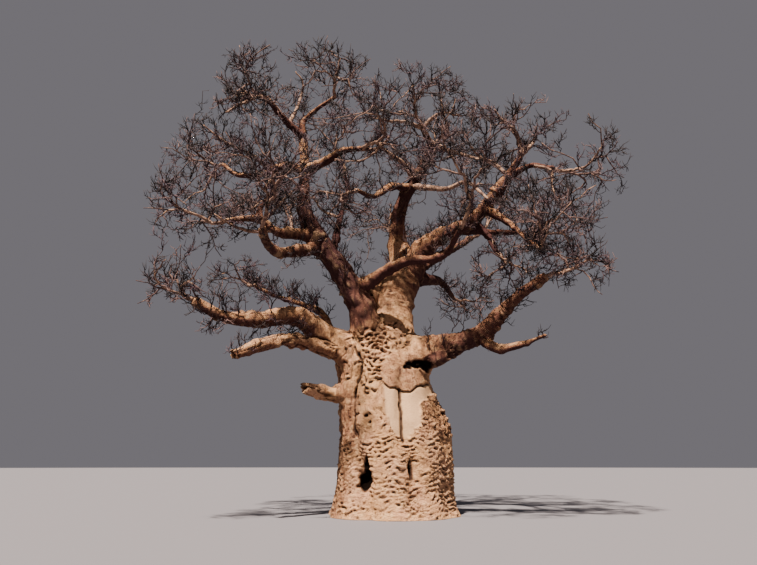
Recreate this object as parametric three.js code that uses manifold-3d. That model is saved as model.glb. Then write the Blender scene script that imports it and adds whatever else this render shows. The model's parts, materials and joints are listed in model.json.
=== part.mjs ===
// A great baobab in its bare season: a fluted trunk, its forks and boughs, and masses of twigs.
// Everything is in millimetres, +Z up. The origin is the middle of the flat cut at ground level,
// and the side with the two smooth bark panels faces -Y.
import * as THREE from 'three';
import Module from 'manifold-3d';

const wasm = await Module();
wasm.setup();

// Driving dimensions. Lengths that are read here are in metres and become millimetres by METRE.
const METRE = 1000;
const CLEARANCE = 0.4; // millimetres between a limb and what carries it
const TRUNK_CLEARANCE = 0.5; // the same for the trunk, whose sides slope more

// The trunk, by height above the ground: the middle of its section and its half width and half depth.
const TRUNK_STATIONS = [
  { height: 0.0, middle: [0.0, 0.0], half: [2.12, 1.98] },
  { height: 0.6, middle: [0.0, 0.0], half: [2.02, 1.88] },
  { height: 1.6, middle: [0.05, 0.0], half: [2.0, 1.85] },
  { height: 2.7, middle: [0.05, 0.0], half: [1.95, 1.8] },
  { height: 3.6, middle: [-0.15, 0.0], half: [1.82, 1.7] },
  { height: 4.5, middle: [-0.34, 0.0], half: [1.68, 1.58] },
  { height: 5.4, middle: [-0.42, 0.0], half: [1.58, 1.38] },
  { height: 6.0, middle: [-0.42, 0.0], half: [1.3, 1.1] },
  { height: 6.35, middle: [-0.42, 0.0], half: [0.9, 0.8] },
];
const TRUNK_SIDES = 54;
const TRUNK_RINGS = 15;
const RING_CROWDING = 1.15; // above 1, the rings lie closer together towards the fork
// Grooves that run up the trunk: how deep in metres and how wide in degrees each is, and the heights
// in metres and the angles round the trunk in degrees from +X that it passes through.
const GROOVES = [
  {
    depth: 0.17,
    width: 8,
    path: [[0.0, -112], [1.2, -118], [2.0, -132], [2.9, -139], [4.0, -128], [5.0, -116], [5.6, -116]],
  },
  { depth: 0.07, width: 6, path: [[2.8, -119], [4.4, -112]] },
  { depth: 0.08, width: 6, path: [[2.3, -88], [3.0, -92], [4.4, -93], [5.3, -91]] },
  { depth: 0.18, width: 6.5, path: [[0.3, -71], [1.7, -76], [2.3, -83], [3.0, -83], [3.9, -74], [5.0, -62]] },
  { depth: 0.07, width: 11, path: [[0.0, -32], [4.6, -32]] },
  { depth: 0.16, width: 12, path: [[0.0, 12], [5.2, 12]] },
  { depth: 0.14, width: 11, path: [[0.0, 58], [5.4, 58]] },
  { depth: 0.17, width: 12, path: [[0.0, 101], [5.2, 101]] },
  { depth: 0.13, width: 11, path: [[0.0, 146], [5.4, 146]] },
  { depth: 0.15, width: 12, path: [[0.0, 187], [5.0, 187]] },
];
const GROOVE_FADE = { below: 0.5, start: 0.3, end: 0.9 };
// Near the ground the bark swells into root buttresses, and the grooves between them are deeper.
const ROOT_SWELL = { reach: 0.16, height: 0.7 };

// Limbs, each cut where it leaves what carries it. The route is the limb's middle line in metres,
// and thick is its diameter in metres where it starts and where it ends.
const LIMBS = {
  // the left fork and what it carries
  fork_left: {
    route: [[-0.6, -0.4, 5.0], [-1.2, -0.9, 7.1], [-1.8, -1.1, 8.2], [-2.75, -1.4, 9.5]],
    thick: [1.15, 0.68],
  },
  column_left: {
    route: [[-2.7, -1.4, 9.4], [-3.2, -1.5, 10.5], [-3.3, -1.5, 12.1], [-3.4, -1.8, 13.7]],
    thick: [0.56, 0.3],
  },
  bough_left_top: {
    route: [[-3.4, -1.8, 13.6], [-3.9, -2.1, 13.9], [-4.6, -2.9, 14.4]],
    thick: [0.28, 0.17],
  },
  bough_top: {
    route: [[-3.4, -1.8, 13.5], [-3.4, -1.8, 14.2], [-2.9, -1.9, 14.7], [-2.2, -2.2, 15.0]],
    thick: [0.24, 0.15],
  },
  bough_cross: {
    route: [[-3.3, -1.5, 12.2], [-2.6, -1.8, 12.4], [-1.9, -2.1, 12.7], [-1.1, -2.5, 12.6]],
    thick: [0.36, 0.2],
  },
  bough_left_upper: {
    route: [
      [-3.3, -1.5, 12.2], [-4.0, -1.4, 12.5], [-5.0, -1.3, 12.2],
      [-6.0, -1.1, 12.3], [-6.6, -1.0, 12.8],
    ],
    thick: [0.32, 0.16],
  },
  bough_left_mid: {
    route: [[-2.6, -1.3, 9.4], [-3.3, -1.7, 9.5], [-4.0, -2.1, 9.4], [-4.8, -2.4, 9.8], [-5.7, -2.9, 9.5]],
    thick: [0.44, 0.18],
  },
  bough_left_riser: {
    route: [[-4.7, -2.4, 9.8], [-4.7, -2.3, 10.3], [-4.4, -2.1, 10.8]],
    thick: [0.22, 0.15],
  },
  bough_left_elbow: {
    route: [
      [-2.6, -1.3, 9.2], [-3.26, -2.0, 8.75], [-3.9, -2.85, 8.4],
      [-4.15, -3.3, 8.5], [-4.25, -3.8, 8.85],
    ],
    thick: [0.46, 0.26],
  },
  bough_back_left: {
    route: [[-2.6, -1.3, 9.3], [-3.0, 0.2, 10.1], [-3.7, 1.6, 10.9], [-4.4, 2.6, 11.6]],
    thick: [0.44, 0.22],
  },
  bough_mid_riser: {
    route: [[-2.2, -1.0, 9.0], [-2.1, -0.4, 10.3], [-1.9, 0.3, 11.8], [-1.8, 0.8, 12.8], [-2.0, 1.1, 13.6]],
    thick: [0.28, 0.16],
  },
  // low on the left
  bough_left_low: {
    route: [
      [-1.2, -0.2, 5.3], [-2.6, -1.0, 6.1], [-3.3, -1.6, 6.5],
      [-4.3, -2.3, 6.2], [-5.4, -3.0, 6.1], [-6.3, -3.5, 6.5],
    ],
    thick: [1.0, 0.3],
  },
  bough_left_broken: {
    route: [[-1.2, -0.3, 5.1], [-2.5, -1.2, 5.5], [-3.6, -2.3, 5.5], [-4.93, -3.6, 4.75]],
    thick: [0.6, 0.36],
  },
  stub_left: {
    route: [[-1.2, -0.3, 4.05], [-2.3, -0.9, 3.95], [-3.0, -1.5, 4.05]],
    thick: [0.6, 0.36],
  },
  bough_left_thin: {
    route: [
      [-1.5, 0.1, 5.4], [-2.3, 0.2, 6.4], [-2.65, 0.3, 7.1],
      [-3.3, 0.65, 7.5], [-4.7, 1.2, 8.1], [-5.6, 1.65, 8.65],
    ],
    thick: [0.36, 0.13],
  },
  // the right fork and what it carries
  fork_right: {
    route: [[-0.3, 0.0, 4.75], [-0.05, 0.4, 6.7], [0.05, 0.55, 7.7], [0.65, 0.75, 9.2]],
    thick: [2.1, 1.34],
  },
  bough_centre: {
    route: [[0.45, 0.7, 8.8], [0.3, 0.6, 10.1], [0.35, 0.3, 11.4], [1.0, -0.1, 12.7]],
    thick: [0.8, 0.44],
  },
  bough_centre_top: {
    route: [[0.95, -0.1, 12.6], [1.4, -0.3, 13.3], [1.6, -0.5, 13.9], [1.3, -0.8, 14.6]],
    thick: [0.44, 0.22],
  },
  bough_mid_left: {
    route: [[0.7, 0.0, 12.3], [0.0, -0.7, 12.0], [-0.7, -1.4, 11.2], [-1.3, -1.9, 11.2]],
    thick: [0.3, 0.16],
  },
  bough_back_top: {
    route: [[0.35, 0.3, 11.3], [0.6, 1.2, 12.3], [1.1, 1.9, 13.3]],
    thick: [0.36, 0.22],
  },
  bough_right_up: {
    route: [[0.7, 0.6, 8.9], [1.4, 0.1, 9.8], [2.3, -0.4, 10.2], [3.2, -1.0, 10.5], [4.0, -1.5, 11.4]],
    thick: [0.84, 0.42],
  },
  bough_right_reach: {
    route: [[3.9, -1.45, 11.3], [4.3, -1.7, 11.8], [4.8, -2.1, 12.5]],
    thick: [0.4, 0.22],
  },
  bough_right_tip: {
    route: [[4.3, -1.7, 11.8], [5.1, -2.3, 12.0], [5.8, -2.7, 11.6]],
    thick: [0.24, 0.14],
  },
  bough_right_hang: {
    route: [[3.1, -0.9, 10.4], [3.5, -1.4, 9.6], [3.7, -1.9, 8.7]],
    thick: [0.3, 0.17],
  },
  bough_right_out: {
    route: [[3.5, -1.2, 10.8], [4.25, -1.75, 9.95], [4.65, -2.15, 9.2], [4.95, -2.6, 8.65]],
    thick: [0.28, 0.13],
  },
  bough_right_back: {
    route: [[2.6, -0.6, 10.3], [3.8, 0.1, 10.4], [5.2, 0.6, 10.6]],
    thick: [0.36, 0.18],
  },
  bough_back_right: {
    route: [[0.7, 0.8, 8.8], [1.8, 1.6, 9.8], [3.0, 2.3, 10.7], [3.7, 2.8, 11.3]],
    thick: [0.5, 0.24],
  },
  bough_right_behind: {
    route: [[0.6, 0.8, 8.6], [1.5, 1.4, 8.85], [2.2, 2.4, 9.05], [2.8, 3.25, 8.65]],
    thick: [0.58, 0.2],
  },
  bough_front: {
    route: [
      [-1.5, -0.95, 7.45], [-0.95, -1.15, 7.8], [-0.3, -1.5, 8.15],
      [0.5, -1.9, 8.4], [1.7, -2.4, 8.4], [2.2, -3.4, 9.0],
    ],
    thick: [0.5, 0.18],
  },
  // behind the two forks
  fork_back: {
    route: [[-0.3, 0.5, 5.0], [-0.3, 1.5, 6.6], [0.1, 2.2, 7.9], [0.5, 3.0, 9.2]],
    thick: [1.0, 0.5],
  },
  bough_back: {
    route: [[0.5, 2.95, 9.1], [0.7, 3.8, 9.9], [0.5, 4.8, 10.8]],
    thick: [0.46, 0.24],
  },
  // low on the right
  bough_right_low: {
    route: [[-0.1, -0.1, 5.2], [1.2, -0.6, 5.4], [2.2, -0.9, 5.68], [3.2, -1.2, 5.9]],
    thick: [1.56, 0.58],
  },
  bough_right_rise: {
    route: [[3.15, -1.2, 5.9], [3.6, -1.5, 6.45], [4.3, -1.9, 7.1], [5.2, -2.4, 7.7]],
    thick: [0.58, 0.3],
  },
  bough_right_dead: {
    route: [[3.0, -1.1, 5.9], [3.5, -1.7, 5.35], [4.2, -2.0, 5.4], [5.0, -2.4, 5.65]],
    thick: [0.4, 0.12],
  },
  stub_right: {
    route: [[0.4, -0.4, 4.95], [1.4, -1.0, 5.05], [2.0, -1.3, 5.2]],
    thick: [0.7, 0.36],
  },
};
const LIMB_STEP = 0.95;
const LIMB_SIDES = { stout: 8, slim: 6, stoutFrom: 0.5 };
const LIMB_TAPER = 0.85; // below 1, a limb thins sooner near its root
const ROOT_FLARE = { share: 0.45, fade: 0.9 }; // extra radius at a limb's root, and how soon it fades

// Masses of twigs: the bough whose tip each grows from, and the middle and half sizes, in metres,
// of the space that it may fill.
const MASSES = {
  mass_left_low: { bough: 'bough_left_low', middle: [-6.8, -4.0, 6.7], half: [1.1, 1.3, 1.1] },
  mass_left_mid: { bough: 'bough_left_mid', middle: [-6.3, -3.5, 9.7], half: [1.8, 2.2, 1.7] },
  mass_left_riser: { bough: 'bough_left_riser', middle: [-4.6, -2.2, 11.6], half: [1.8, 1.8, 1.5] },
  mass_left_front: { bough: 'bough_left_elbow', middle: [-4.0, -5.0, 10.1], half: [2.0, 2.0, 1.7] },
  mass_left_upper: { bough: 'bough_left_upper', middle: [-6.9, -0.9, 12.6], half: [2.0, 2.5, 2.1] },
  mass_left_top: { bough: 'bough_left_top', middle: [-4.8, -3.0, 14.2], half: [2.0, 2.3, 1.8] },
  mass_top: { bough: 'bough_top', middle: [-2.4, -2.6, 14.9], half: [2.0, 2.4, 1.8] },
  mass_cross: { bough: 'bough_cross', middle: [-0.7, -3.9, 12.1], half: [2.1, 2.4, 1.9] },
  mass_left_thin: { bough: 'bough_left_thin', middle: [-6.4, 2.4, 9.1], half: [1.6, 1.8, 1.1] },
  mass_centre: { bough: 'bough_centre_top', middle: [0.9, -1.5, 14.7], half: [2.6, 2.5, 1.9] },
  mass_mid_left: { bough: 'bough_mid_left', middle: [-1.8, -2.5, 10.7], half: [1.6, 1.8, 1.5] },
  mass_mid_riser: { bough: 'bough_mid_riser', middle: [-2.4, 1.7, 14.8], half: [2.6, 2.5, 2.1] },
  mass_back_left: { bough: 'bough_back_left', middle: [-5.4, 3.5, 13.0], half: [2.8, 2.9, 2.1] },
  mass_right_top: { bough: 'bough_right_reach', middle: [4.5, -2.4, 12.8], half: [2.2, 2.3, 1.7] },
  mass_right_tip: { bough: 'bough_right_tip', middle: [6.3, -3.0, 11.3], half: [1.8, 2.3, 1.8] },
  mass_right_hang: { bough: 'bough_right_hang', middle: [3.9, -2.7, 7.8], half: [1.5, 1.4, 1.1] },
  mass_right_out: { bough: 'bough_right_out', middle: [5.3, -3.6, 9.4], half: [1.6, 1.8, 1.3] },
  mass_right_back: { bough: 'bough_right_back', middle: [6.5, 1.0, 11.0], half: [1.9, 2.5, 2.0] },
  mass_right_low: { bough: 'bough_right_rise', middle: [5.95, -2.85, 7.8], half: [1.4, 1.7, 1.2] },
  mass_right_behind: { bough: 'bough_right_behind', middle: [3.4, 4.1, 8.75], half: [1.6, 1.7, 1.1] },
  mass_back_right: { bough: 'bough_back_right', middle: [4.5, 3.5, 12.9], half: [2.8, 2.8, 2.2] },
  mass_back_top: { bough: 'bough_back_top', middle: [1.7, 2.5, 14.7], half: [2.7, 2.6, 2.1] },
  mass_back: { bough: 'bough_back', middle: [0.2, 5.5, 12.8], half: [2.8, 2.3, 1.9] },
  mass_front: { bough: 'bough_front', middle: [1.9, -5.0, 10.5], half: [2.6, 2.2, 1.9] },
};
// How twigs grow: each branch heads for the middle of its tips, forks, and gives the smaller half away.
const GROWTH = {
  seed: 101,
  seedStep: 17,
  tips: 15, // tips in a mass, every other one of them on the edge of its space
  choices: 7, // places that are tried for each tip
  lowest: -0.7, // how far down a mass's space its tips go, where -1 is its very bottom
  outward: 0.45, // the lower this is, the further out the other tips lie
  stride: 0.42, // share of the way to the middle of its tips that a branch goes before it forks
  inertia: 0.5, // how much of its old heading a branch keeps
  crook: 0.28, // how far a heading strays
  tipRadius: 0.024, // metres
  pipePower: 0.46, // a branch's radius grows with its number of tips to this power
  rootShare: 0.48, // a side branch's radius at its root, as a share of its parent's there
  rim: 1.001, // just past 1, so that places on the edge count as inside
  edge: 0.06, // gap that a mass keeps to its neighbours, as a share of its half sizes
  limbGap: 0.05, // metres that a twig keeps from every limb
  checkStep: 0.12, // metres between the places where a twig is checked
};
const AXIS_TURNS = 6;
const PARALLEL = 1e-4;
const TWIG_SIDES = 3;

// Random numbers that come out the same on every run.
function seededRandom(seed) {
  let state = seed >>> 0;
  return () => {
    state = (state + 0x6d2b79f5) >>> 0;
    let mixed = Math.imul(state ^ (state >>> 15), state | 1);
    mixed ^= mixed + Math.imul(mixed ^ (mixed >>> 7), mixed | 61);
    return ((mixed ^ (mixed >>> 14)) >>> 0) / 4294967296;
  };
}

function vector(metres) {
  return new THREE.Vector3(metres[0], metres[1], metres[2]).multiplyScalar(METRE);
}

// A closed skin over rings of points that all have the same number of points.
function loft(rings) {
  const sides = rings[0].length;
  const points = rings.flat();
  const faces = [];
  for (let ring = 0; ring < rings.length - 1; ring += 1) {
    for (let side = 0; side < sides; side += 1) {
      const next = (side + 1) % sides;
      const a = ring * sides + side;
      const b = ring * sides + next;
      faces.push([a, b, b + sides], [a, b + sides, a + sides]);
    }
  }
  const last = (rings.length - 1) * sides;
  for (let side = 1; side < sides - 1; side += 1) {
    faces.push([0, side + 1, side], [last, last + side, last + side + 1]);
  }
  return new wasm.Manifold(new wasm.Mesh({
    numProp: 3,
    vertProperties: new Float32Array(points.flatMap((point) => point.toArray())),
    triVerts: new Uint32Array(faces.flat()),
  }));
}

// The value at a height of one measure of the trunk, smoothly between its stations.
function trunkMeasure(height, measure) {
  const stations = TRUNK_STATIONS;
  let low = 0;
  while (low < stations.length - 2 && stations[low + 1].height < height) {
    low += 1;
  }
  const span = stations[low + 1].height - stations[low].height;
  const share = THREE.MathUtils.clamp((height - stations[low].height) / span, 0, 1);
  const slopeAt = (index) => {
    const before = stations[Math.max(index - 1, 0)];
    const after = stations[Math.min(index + 1, stations.length - 1)];
    return (measure(after) - measure(before)) / (after.height - before.height);
  };
  const squared = share * share;
  const cubed = squared * share;
  return (2 * cubed - 3 * squared + 1) * measure(stations[low])
    + (cubed - 2 * squared + share) * span * slopeAt(low)
    + (3 * squared - 2 * cubed) * measure(stations[low + 1])
    + (cubed - squared) * span * slopeAt(low + 1);
}

// The angle in degrees that a groove has at a height, straight between the places that it passes.
function grooveAngle(path, height) {
  const next = path.findIndex((place) => place[0] > height);
  if (next <= 0) {
    return next === 0 ? path[0][1] : path[path.length - 1][1];
  }
  const [below, above] = [path[next - 1], path[next]];
  return THREE.MathUtils.lerp(below[1], above[1], (height - below[0]) / (above[0] - below[0]));
}

// How far the bark stands in or out at an angle in degrees and a height.
function trunkRelief(degrees, height) {
  let relief = 0;
  for (const groove of GROOVES) {
    const low = groove.path[0][0];
    const high = groove.path[groove.path.length - 1][0];
    const turned = degrees - grooveAngle(groove.path, height);
    const away = THREE.MathUtils.euclideanModulo(turned + 180, 360) - 180;
    const across = Math.exp(-((away / groove.width) ** 2));
    const fadeIn = THREE.MathUtils.smoothstep(height, low - GROOVE_FADE.below, low + GROOVE_FADE.start);
    const fadeOut = 1 - THREE.MathUtils.smoothstep(height, high - GROOVE_FADE.end, high);
    const foot = 1 + Math.exp(-height / ROOT_SWELL.height);
    relief -= groove.depth * across * fadeIn * fadeOut * foot;
  }
  return relief + ROOT_SWELL.reach * Math.exp(-height / ROOT_SWELL.height);
}

function trunkSolid(grow) {
  const top = TRUNK_STATIONS[TRUNK_STATIONS.length - 1].height;
  const rings = [];
  for (let ring = 0; ring <= TRUNK_RINGS; ring += 1) {
    const height = top * (1 - (1 - ring / TRUNK_RINGS) ** RING_CROWDING);
    const middleX = trunkMeasure(height, (station) => station.middle[0]);
    const halfX = trunkMeasure(height, (station) => station.half[0]);
    const halfY = trunkMeasure(height, (station) => station.half[1]);
    const points = [];
    for (let side = 0; side < TRUNK_SIDES; side += 1) {
      const angle = (side / TRUNK_SIDES) * 2 * Math.PI;
      const relief = trunkRelief(THREE.MathUtils.radToDeg(angle), height);
      points.push(new THREE.Vector3(
        (middleX + (halfX + relief) * Math.cos(angle)) * METRE + grow * Math.cos(angle),
        (halfY + relief) * Math.sin(angle) * METRE + grow * Math.sin(angle),
        height * METRE + (ring === TRUNK_RINGS ? grow : 0),
      ));
    }
    rings.push(points);
  }
  return loft(rings);
}

// Rings round a route, each square to it: their middles, headings and a pair of axes that turns least.
function framesAlong(middles, headings) {
  const frames = [];
  let side = new THREE.Vector3(0, 0, 1).cross(headings[0]);
  if (side.lengthSq() < PARALLEL) {
    side = new THREE.Vector3(1, 0, 0);
  }
  headings.forEach((heading, index) => {
    side = side.clone().addScaledVector(heading, -side.dot(heading)).normalize();
    frames.push({ middle: middles[index], side, up: new THREE.Vector3().crossVectors(heading, side) });
  });
  return frames;
}

function tubeSolid(middles, headings, radii, sides) {
  const rings = framesAlong(middles, headings).map((frame, index) => {
    const points = [];
    for (let side = 0; side < sides; side += 1) {
      const angle = (side / sides) * 2 * Math.PI;
      points.push(frame.middle.clone()
        .addScaledVector(frame.side, radii[index] * Math.cos(angle))
        .addScaledVector(frame.up, radii[index] * Math.sin(angle)));
    }
    return points;
  });
  return loft(rings);
}

// A limb's middle line, headings and radii at even steps.
function limbLine(limb) {
  const curve = new THREE.CatmullRomCurve3(limb.route.map(vector), false, 'centripetal');
  const length = curve.getLength();
  const steps = Math.max(3, Math.round(length / (LIMB_STEP * METRE)));
  const rootRadius = (limb.thick[0] / 2) * METRE;
  const tipRadius = (limb.thick[1] / 2) * METRE;
  const sides = limb.thick[0] > LIMB_SIDES.stoutFrom ? LIMB_SIDES.stout : LIMB_SIDES.slim;
  const line = { middles: [], headings: [], radii: [], sides };
  for (let step = 0; step <= steps; step += 1) {
    const share = step / steps;
    const flare = ROOT_FLARE.share * Math.exp(-(share * length) / (ROOT_FLARE.fade * METRE));
    line.middles.push(curve.getPointAt(share));
    line.headings.push(curve.getTangentAt(share));
    line.radii.push(THREE.MathUtils.lerp(rootRadius * (1 + flare), tipRadius, share ** LIMB_TAPER));
  }
  return line;
}

function limbSolid(line, grow) {
  const radii = line.radii.map((radius) => radius + grow / Math.cos(Math.PI / line.sides));
  const middles = line.middles.map((middle) => middle.clone());
  const last = middles.length - 1;
  middles[0].addScaledVector(line.headings[0], -grow);
  middles[last].addScaledVector(line.headings[last], grow);
  return tubeSolid(middles, line.headings, radii, line.sides);
}

// The biggest body that is left of a solid once everything in the way is cut from it.
function cutClear(solid, others) {
  let left = solid;
  const box = solid.boundingBox();
  for (const other of others) {
    const far = other.boundingBox();
    const apart = [0, 1, 2].some((axis) => far.min[axis] > box.max[axis] || far.max[axis] < box.min[axis]);
    if (!apart) {
      left = left.subtract(other);
    }
  }
  const bodies = left.decompose();
  return bodies.reduce((biggest, body) => (body.volume() > biggest.volume() ? body : biggest));
}

// How deep a point lies in a mass's space: 0 in its middle and 1 at its edge.
function depthIn(mass, point) {
  return Math.hypot(...mass.middle.map((value, axis) => (point[axis] - value) / mass.half[axis]));
}

// True where a point is in its mass's own space, clear of the neighbours' spaces.
function inOwnSpace(mass, neighbours, point) {
  const depth = depthIn(mass, point);
  return depth <= GROWTH.rim && neighbours.every((other) => depth + GROWTH.edge < depthIn(other, point));
}

// A point in a mass's space that is its own. Every other one lies on the edge of the space.
function placeInSpace(mass, neighbours, random, onEdge) {
  for (;;) {
    const turn = random() * 2 * Math.PI;
    const rise = GROWTH.lowest + random() * (1 - GROWTH.lowest);
    const inward = random() ** GROWTH.outward;
    const out = onEdge ? 1 : inward;
    const flat = Math.sqrt(1 - rise * rise);
    const point = [
      mass.middle[0] + mass.half[0] * out * flat * Math.cos(turn),
      mass.middle[1] + mass.half[1] * out * flat * Math.sin(turn),
      mass.middle[2] + mass.half[2] * out * rise,
    ];
    if (inOwnSpace(mass, neighbours, point)) {
      return new THREE.Vector3(...point);
    }
  }
}

// The tips of a mass, spread evenly: of a few places for each, the one furthest from those before it.
function tipsOf(mass, neighbours, random) {
  const tips = [];
  while (tips.length < GROWTH.tips) {
    const onEdge = tips.length % 2 === 0;
    let best = placeInSpace(mass, neighbours, random, onEdge);
    let room = 0;
    for (let choice = 1; choice < GROWTH.choices; choice += 1) {
      const place = placeInSpace(mass, neighbours, random, onEdge);
      const nearest = Math.min(...tips.map((tip) => tip.distanceTo(place)));
      if (nearest > room) {
        room = nearest;
        best = place;
      }
    }
    tips.push(best);
  }
  return tips;
}

function middleOf(points) {
  const middle = new THREE.Vector3();
  points.forEach((point) => middle.add(point));
  return middle.divideScalar(points.length);
}

// The tips in two halves, parted across the way in which they spread most.
function splitTips(tips) {
  const middle = middleOf(tips);
  let axis = tips[tips.length - 1].clone().sub(tips[0]).normalize();
  for (let turn = 0; turn < AXIS_TURNS; turn += 1) {
    const pulled = new THREE.Vector3();
    for (const tip of tips) {
      const away = tip.clone().sub(middle);
      pulled.addScaledVector(away, away.dot(axis));
    }
    axis = pulled.normalize();
  }
  const sideOf = (tip) => tip.clone().sub(middle).dot(axis);
  const near = tips.filter((tip) => sideOf(tip) < 0);
  const far = tips.filter((tip) => sideOf(tip) >= 0);
  return near.length > far.length ? [near, far] : [far, near];
}

function branchRadius(count) {
  return GROWTH.tipRadius * count ** GROWTH.pipePower;
}

// Grows a branch from the end of its parent towards its tips, and adds it and all that forks from it
// to the list of branches.
function growBranch(parent, start, heading, tips, random, branches) {
  const fork = parent ? parent.points.length - 1 : 0;
  const branch = { parent, fork, heading, points: [start], counts: [tips.length], kept: 0 };
  branches.push(branch);
  let at = start;
  let along = heading;
  let rest = tips;
  while (rest.length > 1) {
    const aim = middleOf(rest).sub(at);
    const stray = new THREE.Vector3(random() - 0.5, random() - 0.5, random() - 0.5);
    const distance = aim.length();
    along = along.clone().multiplyScalar(GROWTH.inertia)
      .addScaledVector(aim, (1 - GROWTH.inertia) / distance)
      .addScaledVector(stray, 2 * GROWTH.crook)
      .normalize();
    at = at.clone().addScaledVector(along, distance * GROWTH.stride);
    const [main, side] = splitTips(rest);
    branch.points.push(at);
    branch.counts.push(main.length);
    growBranch(branch, at, along, side, random, branches);
    rest = main;
  }
  branch.points.push(rest[0]);
  branch.counts.push(1);
}

// Points at short steps from one point to another.
function stepsBetween(from, to) {
  const count = Math.max(1, Math.ceil(from.distanceTo(to) / GROWTH.checkStep));
  return Array.from({ length: count + 1 }, (_, index) => from.clone().lerp(to, index / count));
}

// True where a stretch of twig stays out of its neighbours' spaces and off every limb.
function stretchIsClear(from, to, radius, mass, around) {
  return stepsBetween(from, to).every((point) => {
    const place = point.toArray();
    const depth = depthIn(mass, place);
    const free = around.neighbours.every((other) => depthIn(other, place) > Math.min(depth, 1));
    const reach = radius + GROWTH.limbGap;
    return free && around.limbPoints.every((limb) => point.distanceTo(limb.middle) > limb.radius + reach);
  });
}

// How many of a branch's points it may keep before it would leave its space or touch a limb.
function keptPoints(branch, mass, around) {
  if (branch.parent && branch.parent.kept <= branch.fork) {
    return 0;
  }
  let kept = 1;
  while (kept < branch.points.length) {
    const radius = branchRadius(branch.counts[kept - 1]);
    if (!stretchIsClear(branch.points[kept - 1], branch.points[kept], radius, mass, around)) {
      break;
    }
    kept += 1;
  }
  return kept;
}

const limbLines = Object.fromEntries(Object.entries(LIMBS).map(([name, limb]) => [name, limbLine(limb)]));

// Points close together along every limb but one, in metres, with the limb's radius there.
function limbPointsExcept(own) {
  const found = [];
  for (const [name, line] of Object.entries(limbLines)) {
    const steps = name === own ? 0 : line.middles.length - 1;
    for (let step = 0; step < steps; step += 1) {
      const from = line.middles[step].clone().divideScalar(METRE);
      const to = line.middles[step + 1].clone().divideScalar(METRE);
      stepsBetween(from, to).forEach((middle, index, all) => {
        const share = index / (all.length - 1);
        const radius = THREE.MathUtils.lerp(line.radii[step], line.radii[step + 1], share) / METRE;
        found.push({ middle, radius });
      });
    }
  }
  return found;
}

// A twig as a three-sided tapering rod, through the points that it keeps.
function twigSolid(branch) {
  const middles = branch.points.slice(0, branch.kept).map((point) => point.clone().multiplyScalar(METRE));
  const headings = middles.map((middle, index) => {
    const before = middles[Math.max(index - 1, 0)];
    const after = middles[Math.min(index + 1, middles.length - 1)];
    return after.clone().sub(before).normalize();
  });
  const radii = branch.counts.slice(0, branch.kept).map((count) => branchRadius(count) * METRE);
  if (branch.parent) {
    radii[0] = GROWTH.rootShare * branchRadius(branch.parent.counts[branch.fork]) * METRE;
  } else {
    headings[0] = branch.heading;
  }
  radii[radii.length - 1] = branchRadius(1) * METRE;
  return tubeSolid(middles, headings, radii, TWIG_SIDES);
}

// A mass of twigs that all branch from one stem, which starts at its bough's tip.
function massSolid(name, mass, seed) {
  const random = seededRandom(seed);
  const neighbours = Object.keys(MASSES).filter((other) => other !== name).map((other) => MASSES[other]);
  const around = { neighbours, limbPoints: limbPointsExcept(mass.bough) };
  const line = limbLines[mass.bough];
  const last = line.middles.length - 1;
  const start = line.middles[last].clone().divideScalar(METRE);
  const branches = [];
  growBranch(null, start, line.headings[last], tipsOf(mass, neighbours, random), random, branches);
  const twigs = [];
  for (const branch of branches) {
    branch.kept = keptPoints(branch, mass, around);
    if (branch.kept > 1) {
      twigs.push(twigSolid(branch));
    }
  }
  return cutClear(wasm.Manifold.union(twigs), [limbSolid(line, CLEARANCE)]);
}

function meshOf(name, solid, material) {
  const { vertProperties, triVerts } = solid.getMesh();
  const geometry = new THREE.BufferGeometry();
  geometry.setAttribute('position', new THREE.BufferAttribute(new Float32Array(vertProperties), 3));
  geometry.setIndex(new THREE.BufferAttribute(new Uint32Array(triVerts), 1));
  const mesh = new THREE.Mesh(geometry, material);
  mesh.name = name;
  return mesh;
}

const trunkBark = new THREE.MeshStandardMaterial({ color: 0xc8a888, roughness: 0.9, metalness: 0 });
const limbBark = new THREE.MeshStandardMaterial({ color: 0x9a6f52, roughness: 0.92, metalness: 0 });
const twigBark = new THREE.MeshStandardMaterial({ color: 0x5a4048, roughness: 0.95, metalness: 0 });

const tree = new THREE.Group();
tree.add(meshOf('trunk', trunkSolid(0), trunkBark));
const inTheWay = [trunkSolid(TRUNK_CLEARANCE)];
for (const [name, line] of Object.entries(limbLines)) {
  tree.add(meshOf(name, cutClear(limbSolid(line, 0), inTheWay), limbBark));
  inTheWay.push(limbSolid(line, CLEARANCE));
}
Object.entries(MASSES).forEach(([name, mass], index) => {
  const seed = GROWTH.seed + GROWTH.seedStep * index;
  tree.add(meshOf(name, massSolid(name, mass, seed), twigBark));
});

export default tree;
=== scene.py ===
"""A great baobab in its bare season: bark with relief over the trunk and the boughs, and masses of
fine twigs that grow on from them. Lengths are in metres and angles in degrees. -Y is the front."""

import json
import math

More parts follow.
